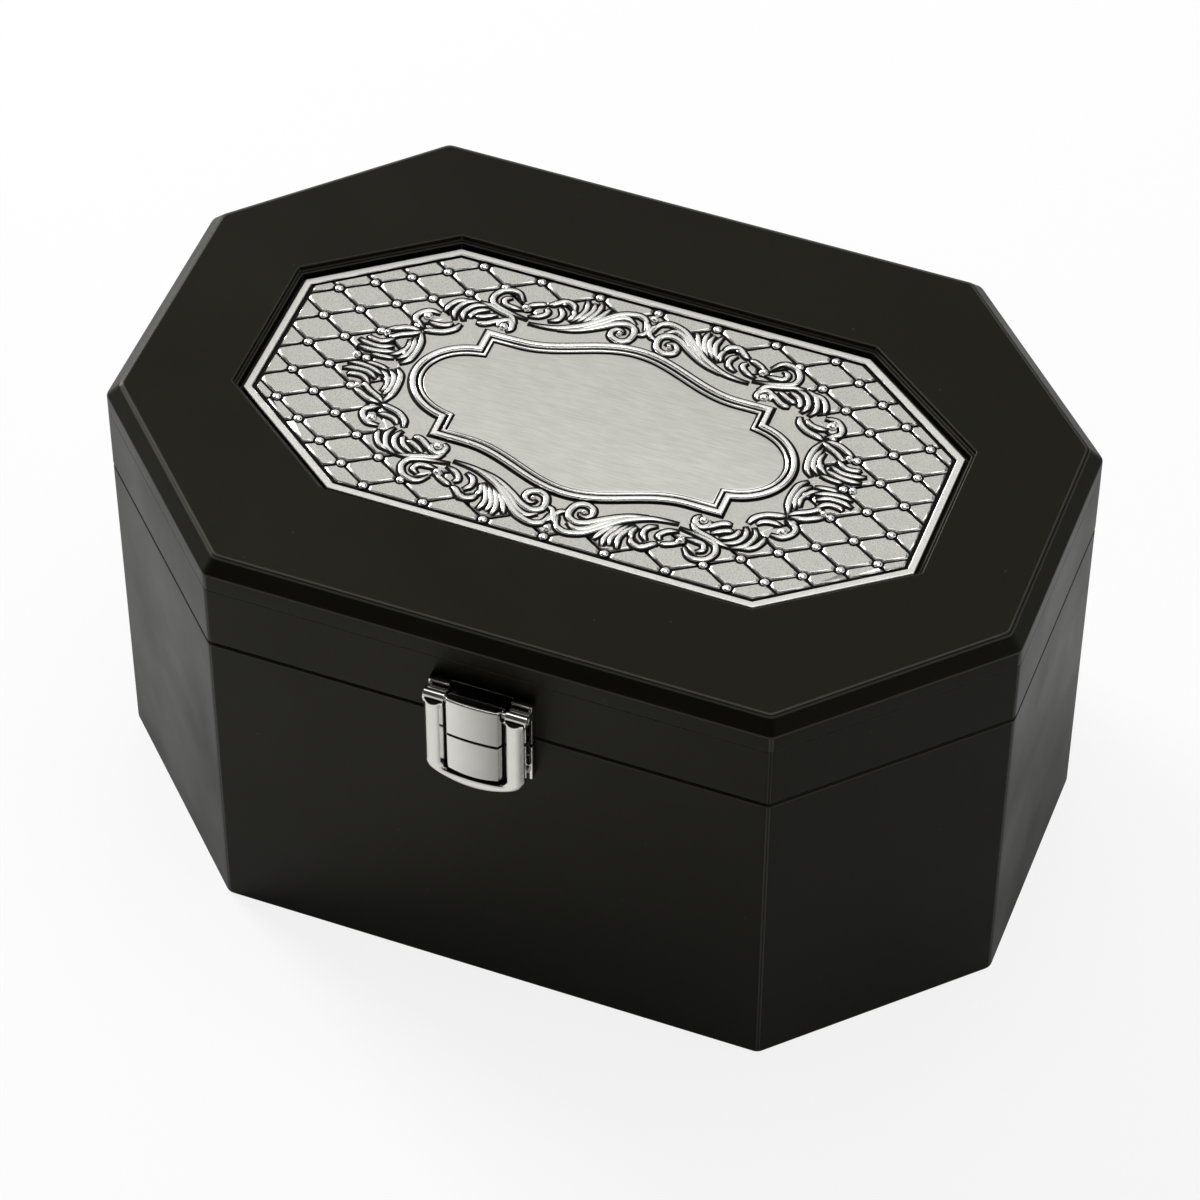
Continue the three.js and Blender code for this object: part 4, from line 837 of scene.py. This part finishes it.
web_edge = [(x, z) for x, z in outer_edge if z <= WEB_TOP]
web_edge += [(-x, z) for x, z in outer_edge[-2::-1] if z <= WEB_TOP]
web_outline = drawn_in(web_edge, -0.04)
web_rings = [[(x, FRONT - out, z) for x, z in drawn_in(web_outline, -inset)] for inset, out in
             ((0.12, WEB_BACK), (0.02, WEB_BACK + 0.1), (0, WEB_FACE))]
knuckle = [(PIN_OUT + BARREL * cos(radians(a)), PIN_UP + BARREL * sin(radians(a))) for a in range(0, 360, 15)]
rolled = [[section_at(x, drawn_in(profile, inset)) for x, inset in ROLL_ENDS]
          for profile in (knuckle, TONGUE)]
# Painted shade: the web's front below the knuckle, seen in the gaps beside the panel, takes the black metal.
of_flap("latch_flap_web", [web_rings] + rolled, polished,
        lambda middle, way: way.y < -0.9 and middle.z < WEB_TOP * MM)

panel_rings = []
for x, out, drawn in [(-x, out, drawn) for x, out, drawn in PANEL_FACES] + PANEL_FACES[-2::-1]:
    foot = PANEL_LOW + END_SAG * (x / PANEL_HALF) ** 2 + drawn
    crest, floor_out = PANEL_TOP - drawn, out - GROOVE_DEPTH
    panel_rings.append(section_at(x, [
        (SHEET_FOOT, foot), (out - 0.4, foot), (out - 0.22, foot + 0.05), (out - 0.07, foot + 0.18),
        (out, foot + 0.4), (out, 70.5), (out, GROOVE_LOW - 0.5), (out, GROOVE_LOW - 0.14),
        (out - 0.04, GROOVE_LOW - 0.04), (out - 0.14, GROOVE_LOW), (floor_out, GROOVE_LOW + 0.02),
        (floor_out, GROOVE_HIGH - 0.02), (out - 0.14, GROOVE_HIGH), (out - 0.04, GROOVE_HIGH + 0.04),
        (out, GROOVE_HIGH + 0.14), (out, GROOVE_HIGH + 0.5), (out, PANEL_CLEAR),
        (out, crest - 0.4), (out - 0.07, crest - 0.18), (out - 0.22, crest - 0.05), (out - 0.4, crest),
        (PANEL_BACK, crest), (PANEL_BACK, PANEL_CLEAR), (SHEET_FOOT, PANEL_CLEAR)]))
brushed_nickel = nickel("brushed_nickel", NICKEL, 0.17, (120.0, 2600.0, 2600.0), 0.16)
# Painted shade: the panel's colour falls from full at its left to 0.4 at its right, a darker reflection
# painted in.
across = part_of(brushed_nickel.node_tree, "Object", 0)
paint_shade(brushed_nickel, ramp(brushed_nickel.node_tree, across, -0.0045, 0.0052, 1.0, 0.4))
# Painted shade: the faces inside the panel's groove take the black metal.
of_flap("latch_flap_panel", [panel_rings], brushed_nickel,
        lambda middle, way: GROOVE_LOW * MM < middle.z < GROOVE_HIGH * MM)

# Pins, spring and hinges
# Bright steel wire through the rolled knuckles, a blued leaf behind the flap that snaps over the catch bar,
# and two butt hinges let into the rear rims.
STEEL_ARRIS = 0.1 * MM
SPRING_ARRIS = 0.06 * MM
STEEL_TURN = 40
bright_steel = nickel("bright_steel", (0.56, 0.56, 0.55, 1), 0.22, (160.0, 3000.0, 3000.0), 0.15)
spring_steel = nickel("spring_steel", (0.42, 0.43, 0.45, 1), 0.26, (3000.0, 3000.0, 160.0), 0.12)
dressed("latch_pin_wire", "latch_pin", "lid", "steel", [bright_steel], STEEL_ARRIS, STEEL_TURN)
dressed("latch_spring_leaf", "latch_spring", "flap", "steel", [spring_steel], SPRING_ARRIS, STEEL_TURN)
for hand in ("left", "right"):
    for made, cad, body in (("lower_leaf", "body_leaf", "body"), ("upper_leaf", "lid_leaf", "lid"),
                            ("wire", "pin", "body")):
        dressed(f"hinge_{hand}_{made}", f"hinge_{hand}_{cad}", body, "steel", [bright_steel], STEEL_ARRIS,
                STEEL_TURN)

# Screws
# Countersunk slotted screws, 3 mm across the head. Each points into the leaf or plate that it holds.
SCREW = {"Head": 1.5 * MM, "Shank": 0.7 * MM, "Length": 5.0 * MM, "Slot": 0.4 * MM}
SLOT_LONG, SLOT_DEEP = 3.0, 2.2
QUARTER = pi / 2
# Each body's latch plate, how its hinge screws are turned, and how far its latch screws are turned.
SCREWED = (("body", "strike", (0.0, 0.0, 0.35), 0.5), ("lid", "lid", (pi, 0.0, -0.6), -0.8))

screw_tree, given, shape = begun("screws", {**dict.fromkeys(SCREW, "Float"), "Steel": "Material"})
cone_height = reckoned(screw_tree, "SUBTRACT", given["Head"], given["Shank"])
cone = shape("MeshCone", Vertices=32, Radius_Top=given["Head"], Radius_Bottom=given["Shank"],
             Depth=cone_height)
shank = shape("MeshCylinder", Vertices=24, Radius=given["Shank"], Depth=given["Length"])
lowered = []
for solid, height, share in ((cone, cone_height, -1.0), (shank, given["Length"], -0.5)):
    down = output(screw_tree, "ShaderNodeCombineXYZ", {2: reckoned(screw_tree, "MULTIPLY", height, share)})
    lowered.append(shape("Transform", Geometry=solid, Translation=down))
turned = shape("MeshBoolean", operation="UNION", solver="MANIFOLD", Mesh_2=lowered)
slot_size = output(screw_tree, "ShaderNodeCombineXYZ",
                   {0: reckoned(screw_tree, "MULTIPLY", given["Head"], SLOT_LONG), 1: given["Slot"],
                    2: reckoned(screw_tree, "MULTIPLY", given["Slot"], SLOT_DEEP)})
slotted = shape("MeshBoolean", operation="DIFFERENCE", solver="MANIFOLD", Mesh_1=turned,
                Mesh_2=shape("MeshCube", Size=slot_size))
facing = shape("InputNamedAttribute", data_type="FLOAT_VECTOR", Name="facing")
driven = shape("InstanceOnPoints", Points=given["Geometry"], Instance=slotted, Rotation=facing)
ended(screw_tree, shape, driven, given["Steel"], smooth=False)

for body, plate, hinge_turns, latch_turn in SCREWED:
    names = [f"hinge_{hand}_{body}_screw_{k}" for hand in ("left", "right") for k in (1, 2)]
    names += [f"latch_{plate}_screw_{k}" for k in (1, 2)]
    heads, facings = [], []
    for name in names:
        low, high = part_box(name)
        middle = (low + high) / 2
        if name.startswith("latch"):
            heads.append((middle.x, low.y, middle.z))
            facings += [QUARTER, latch_turn, 0.0]
        else:
            heads.append((middle.x, middle.y, high.z if body == "body" else low.z))
            facings += list(hinge_turns)
    source = mesh_of(f"{body}_screw_places", heads)
    source.attributes.new("facing", "FLOAT_VECTOR", "POINT").data.foreach_set("vector", facings)
    screws = grown(f"{body}_screws", source, screw_tree, {**SCREW, "Steel": bright_steel})
    plain_piece(f"{body}_screws", screws, bright_steel, body, "steel", *names)

# Lining of the body and the lid
# Strips of card covered with dark blue velvet and glued round the inside of the walls, with the cloth
# rolled over the free edge.
BOX = (180.0, 121.0, 35.2, 35.2)
WALL = 7.0
FLOOR = 6.0
LID_BOARD_LOW = 89.6
LINING_OUT, LINING_MIDDLE, LINING_IN = 7.3, 8.3, 9.3
LINING_CORNER = 1.2
ROLL_STEPS = 8
# Each lining's piece, node and body, its rolled edge and its square edge.
LININGS = (("body_lining_velvet", "body_lining", "body", 73.6, FLOOR),
           ("lid_lining_velvet", "lid_lining", "lid", 76.0, LID_BOARD_LOW))


def velvet(name, colour, glow):
    made, tree = shader(name, roughness=0.9, specular_ior_level=0.15, sheen_weight=0.55, sheen_roughness=0.35,
                        sheen_tint=glow)
    brushing, pile = noise(tree, 55.0, 4.0, 0.8), noise(tree, 2600.0, 2.0)
    shade = mixed(tree, 1.0, colour, ramp(tree, brushing, 0.35, 0.65, 0.75, 1.25), "MULTIPLY")
    shade = mixed(tree, 1.0, shade, ramp(tree, pile, 0.4, 0.7, 0.8, 1.5), "MULTIPLY")
    surfaced(tree, shade, pile, 0.5, 0.00015)
    return made


def rounded(points, radius, steps=6):
    """A convex outline with each corner replaced by an arc."""
    arcs = []
    for k, (x, y) in enumerate(points):
        corner = Vector((x, y))
        before = (Vector(points[k - 1]) - corner).normalized()
        after = (Vector(points[(k + 1) % len(points)]) - corner).normalized()
        half = acos(before.dot(after)) / 2
        middle = corner + (before + after).normalized() * (radius / sin(half))
        spoke = corner + before * (radius / tan(half)) - middle
        start = atan2(spoke.y, spoke.x)
        for step in range(steps + 1):
            angle = start + (pi - 2 * half) * step / steps
            arcs.append((middle.x + radius * cos(angle), middle.y + radius * sin(angle)))
    return arcs


def velvet_piece(name, rings, body, cad, ends=True):
    """A closed form covered with the blue velvet."""
    mesh = loft(name, [np.asarray(ring).tolist() for ring in rings], ends)
    return plain_piece(name, mesh, blue_velvet, body, "velvet", cad)


blue_velvet = velvet("blue_velvet", (0.027, 0.030, 0.098, 1), (0.35, 0.40, 0.85, 1))
for name, cad, body, roll_edge, square_edge in LININGS:
    way = 1 if roll_edge > square_edge else -1
    angles = [pi * k / ROLL_STEPS for k in range(ROLL_STEPS + 1)]
    section = [(LINING_OUT, square_edge)]
    section += [(LINING_MIDDLE - cos(angle), roll_edge - way * (1 - sin(angle))) for angle in angles]
    section += [(LINING_IN, (roll_edge + square_edge) / 2), (LINING_IN, square_edge)]
    strip_rings = [level(rounded(octagon(BOX, inset), LINING_CORNER), z) for inset, z in section]
    velvet_piece(name, strip_rings, body, cad, ends=False)

# Nest cushion
# A foam block covered with the same velvet, with an oval nest for the fruit. The cloth is gathered into
# the nest and a corded welt is sewn round its rim. It lies loose on the bottom board.
NEST_TOP = 42.0
NEST_HALF = (62.0, 37.0)
NEST_DEPTH = 27
CUSHION_HEIGHT = 36
CUSHION_GAP = WALL + 2.8
CORNER_SOFTNESS = 22
SOFT_STEPS = 5
# Insets from the lining with shares of the height, insets with heights, scales of the oval with rises
# above the rim, and scales of the oval.
CUSHION_SIDES = ((1.8, 0.004), (0.6, 0.05), (0.3, 0.14), (0.8, 0.5), (0.4, 0.8), (1.4, 0.93), (3.6, 1.0))
CUSHION_SHOULDER = ((6.5, 42.75), (10.0, 42.9))
NEST_RIM = ((1.10, 0.75), (1.04, 0.2), (1.0, -1.2), (0.96, -3.6))
BOWL_ROUND = 0.9
NEST_BOWL = (0.86, 0.72, 0.56, 0.4, 0.25, 0.12, 0.03)
# The folds' number and seed, how high they stand, and where in the nest they begin and are full.
GATHERS, GATHER_HEIGHT = (52, 7), 0.55
CREASES, CREASE_HEIGHT = (17, 11), 0.5
FOLD_REACH, FOLD_TOP, FOLD_DEEP = 1.02, NEST_TOP - 0.5, 6.0
FOLD_START, FOLD_GROWS = 0.10, 0.5
# Up to where the cushion's sides belly out, and by how much.
BELLY_TOP, BELLY = 40, 0.18
AROUND = 288
directions = np.arange(AROUND) * 2 * pi / AROUND


def soft_octagon(inset):
    """An octagon with softened corners, as its distance from the middle in each direction."""
    total = np.zeros(AROUND)
    for (x0, y0), (x1, y1) in sides_of(octagon(BOX, CUSHION_GAP + inset)):
        length = hypot(x1 - x0, y1 - y0)
        distance = (x0 * y1 - x1 * y0) / length
        towards_side = ((y1 - y0) * np.cos(directions) - (x1 - x0) * np.sin(directions)) / length
        total += np.maximum(0, towards_side / distance) ** CORNER_SOFTNESS
    return total ** (-1 / CORNER_SOFTNESS)


def ring_of(x, y, z):
    return np.column_stack([x, y, np.full(AROUND, z)])


def octagon_ring(inset, z):
    reach = soft_octagon(inset)
    return ring_of(reach * np.cos(directions), reach * np.sin(directions), z)


def oval_ring(scale, z):
    return ring_of(NEST_HALF[0] * scale * np.cos(directions), NEST_HALF[1] * scale * np.sin(directions), z)


def fine_rings(rings):
    """Rings put in between on a smooth curve through the given ones."""
    flat = smoothed([ring.reshape(-1) for ring in rings], SOFT_STEPS)
    return [np.asarray(ring).reshape(-1, 3) for ring in flat]


def ripples(count, seed):
    """Uneven folds round the middle, between -1 and 1."""
    chance = np.random.default_rng(seed)
    total = np.zeros(AROUND)
    for _ in range(5):
        total += (np.sin((count + int(chance.integers(-9, 10))) * directions + chance.uniform(0, 6.28))
                  * chance.uniform(0.5, 1))
    return total / np.abs(total).max()


cushion_rings = [octagon_ring(inset, FLOOR + CUSHION_HEIGHT * share) for inset, share in CUSHION_SIDES]
cushion_rings += [octagon_ring(inset, z) for inset, z in CUSHION_SHOULDER]
cushion_rings += [oval_ring(scale, NEST_TOP + rise) for scale, rise in NEST_RIM]
cushion_rings += [oval_ring(scale, NEST_TOP - NEST_DEPTH * sqrt(1 - scale * scale * BOWL_ROUND))
                  for scale in NEST_BOWL]
cushion_rings = fine_rings(cushion_rings)
gathers, creases = ripples(*GATHERS), ripples(*CREASES)
for ring in cushion_rings:
    reach_share = hypot(ring[0][0] / NEST_HALF[0], ring[0][1] / NEST_HALF[1])
    height = ring[0][2]
    if reach_share < FOLD_REACH and height < FOLD_TOP:
        depth_share = min(1.0, (NEST_TOP - height) / FOLD_DEEP)
        fade = max(0.0, min(1.0, (reach_share - FOLD_START) / FOLD_GROWS))
        ring[:, 2] += gathers * GATHER_HEIGHT * depth_share * fade
        ring[:, 2] += creases * CREASE_HEIGHT * depth_share * fade
    elif height < BELLY_TOP:
        spokes = np.hypot(ring[:, 0], ring[:, 1])
        up_share = min(1, max(0, (height - FLOOR) / (BELLY_TOP - FLOOR)))
        ring[:, :2] *= (1 - (BELLY + BELLY * creases) * sin(pi * up_share) / spokes * 2)[:, None]
velvet_piece("nest_cushion_velvet", cushion_rings, "body", "nest_cushion")

# Welt round the nest
# A cord in a folded strip of velvet, sewn down round the rim with a row of short stitches.
WELT = 0.9
WELT_AT, WELT_RISE, WELT_SIDES = 1.075, 1.0, 10
# Half of the nest's mean width, which turns the welt's thickness into a share of the oval.
MEAN_HALF = 50
STITCHES_AT, STITCHES_RISE = 1.108, 0.95
STITCH = {"Length": 0.7 * MM, "Thickness": 0.13 * MM, "Pitch": 2.4 * MM}

welt_angles = [2 * pi * k / WELT_SIDES for k in range(WELT_SIDES)]
welt_rings = [oval_ring(WELT_AT + WELT * cos(angle) / MEAN_HALF, NEST_TOP + WELT_RISE + WELT * sin(angle))
              for angle in welt_angles]
velvet_piece("nest_welt", welt_rings, "body", "nest_cushion", ends=False)

stitch_tree, given, shape = begun("stitches", {**dict.fromkeys(STITCH, "Float"), "Thread": "Material"})
seam = shape("MeshToCurve", Mesh=given["Geometry"])
spaced = shape("ResampleCurve", Curve=seam, Length=given["Pitch"], mode="LENGTH")
lying = output(stitch_tree, "FunctionNodeAlignRotationToVector", Vector=shape("InputTangent"), axis="X")
thread_ball = shape("MeshUVSphere", Segments=8, Rings=6, Radius=1.0)
thread_size = output(stitch_tree, "ShaderNodeCombineXYZ",
                     {0: given["Length"], 1: given["Thickness"], 2: given["Thickness"]})
sewn = shape("InstanceOnPoints", Points=spaced, Instance=thread_ball, Rotation=lying, Scale=thread_size)
ended(stitch_tree, shape, sewn, given["Thread"])
thread = velvet("blue_thread", (0.05, 0.055, 0.16, 1), (0.5, 0.55, 0.9, 1))


def stitched(name, ring, body, cad):
    seam_line = mesh_of(name, (ring * MM).tolist(), edges=[(k, (k + 1) % AROUND) for k in range(AROUND)])
    threads = grown(name, seam_line, stitch_tree, {**STITCH, "Thread": thread})
    plain_piece(name, threads, thread, body, "velvet", cad)


stitched("nest_welt_stitches", oval_ring(STITCHES_AT, NEST_TOP + STITCHES_RISE), "body", "nest_cushion")

# Lid pad
# A thin foam pad covered with the same velvet, crowned downwards and sewn round its edge, glued under the
# lid's board.
PAD_SECTION = ((48.0, 81.45), (38.0, 81.5), (24.0, 81.75), (12.0, 82.4), (6.0, 83.2), (2.4, 84.2),
               (0.7, 85.4), (0.4, 86.6), (0.5, 87.6), (1.4, 88.9), (2.4, 89.3))
PAD_CREASE = 0.28
PAD_EDGE, PAD_FADE = 85.0, 3.5
PAD_SEAM = (7.2, 82.92)
pad_rings = fine_rings([octagon_ring(inset, z) for inset, z in PAD_SECTION])
for ring in pad_rings:
    depth = max(0.0, min(1.0, (PAD_EDGE - ring[0][2]) / PAD_FADE))
    ring[:, 2] += PAD_CREASE * creases * depth * (1 - depth) * 4
velvet_piece("lid_pad_velvet", pad_rings, "lid", "lid_pad")
stitched("lid_pad_stitches", octagon_ring(*PAD_SEAM), "lid", "lid_pad")

# Felt under the base
# Pressed black wool felt, 1 mm thick, glued to the bottom board inside the rim of the walls. Its cut edge is
# a little rounded and fluffy.
FELT_INSET = WALL - 3 + 0.8
FELT_CORNER = 0.8
FELT_SECTION = ((0.45, 0.0), (0.2, 0.06), (0.05, 0.25), (0, 0.5), (0.02, 0.8), (0.1, 1.0))
FELT_DARK, FELT_LIGHT = (0.004, 0.004, 0.005, 1), (0.024, 0.024, 0.027, 1)
felt, tree = shader("black_felt", roughness=1.0, specular_ior_level=0.05, sheen_weight=0.3,
                    sheen_roughness=0.6)
wool = noise(tree, 900.0, 5.0, 2.5)
mottle = ramp(tree, noise(tree, 60.0, 3.0), 0.3, 0.7, 0.75, 1.25)
mottled = mixed(tree, 1.0, mixed(tree, wool, FELT_DARK, FELT_LIGHT), mottle, "MULTIPLY")
surfaced(tree, mottled, wool, 0.8, 0.0002)
felt_rings = [level(rounded(octagon(BOX, FELT_INSET + inset), FELT_CORNER), z) for inset, z in FELT_SECTION]
plain_piece("base_felt_pad", loft("base_felt_pad", felt_rings), felt, "body", "felt", "base_felt")
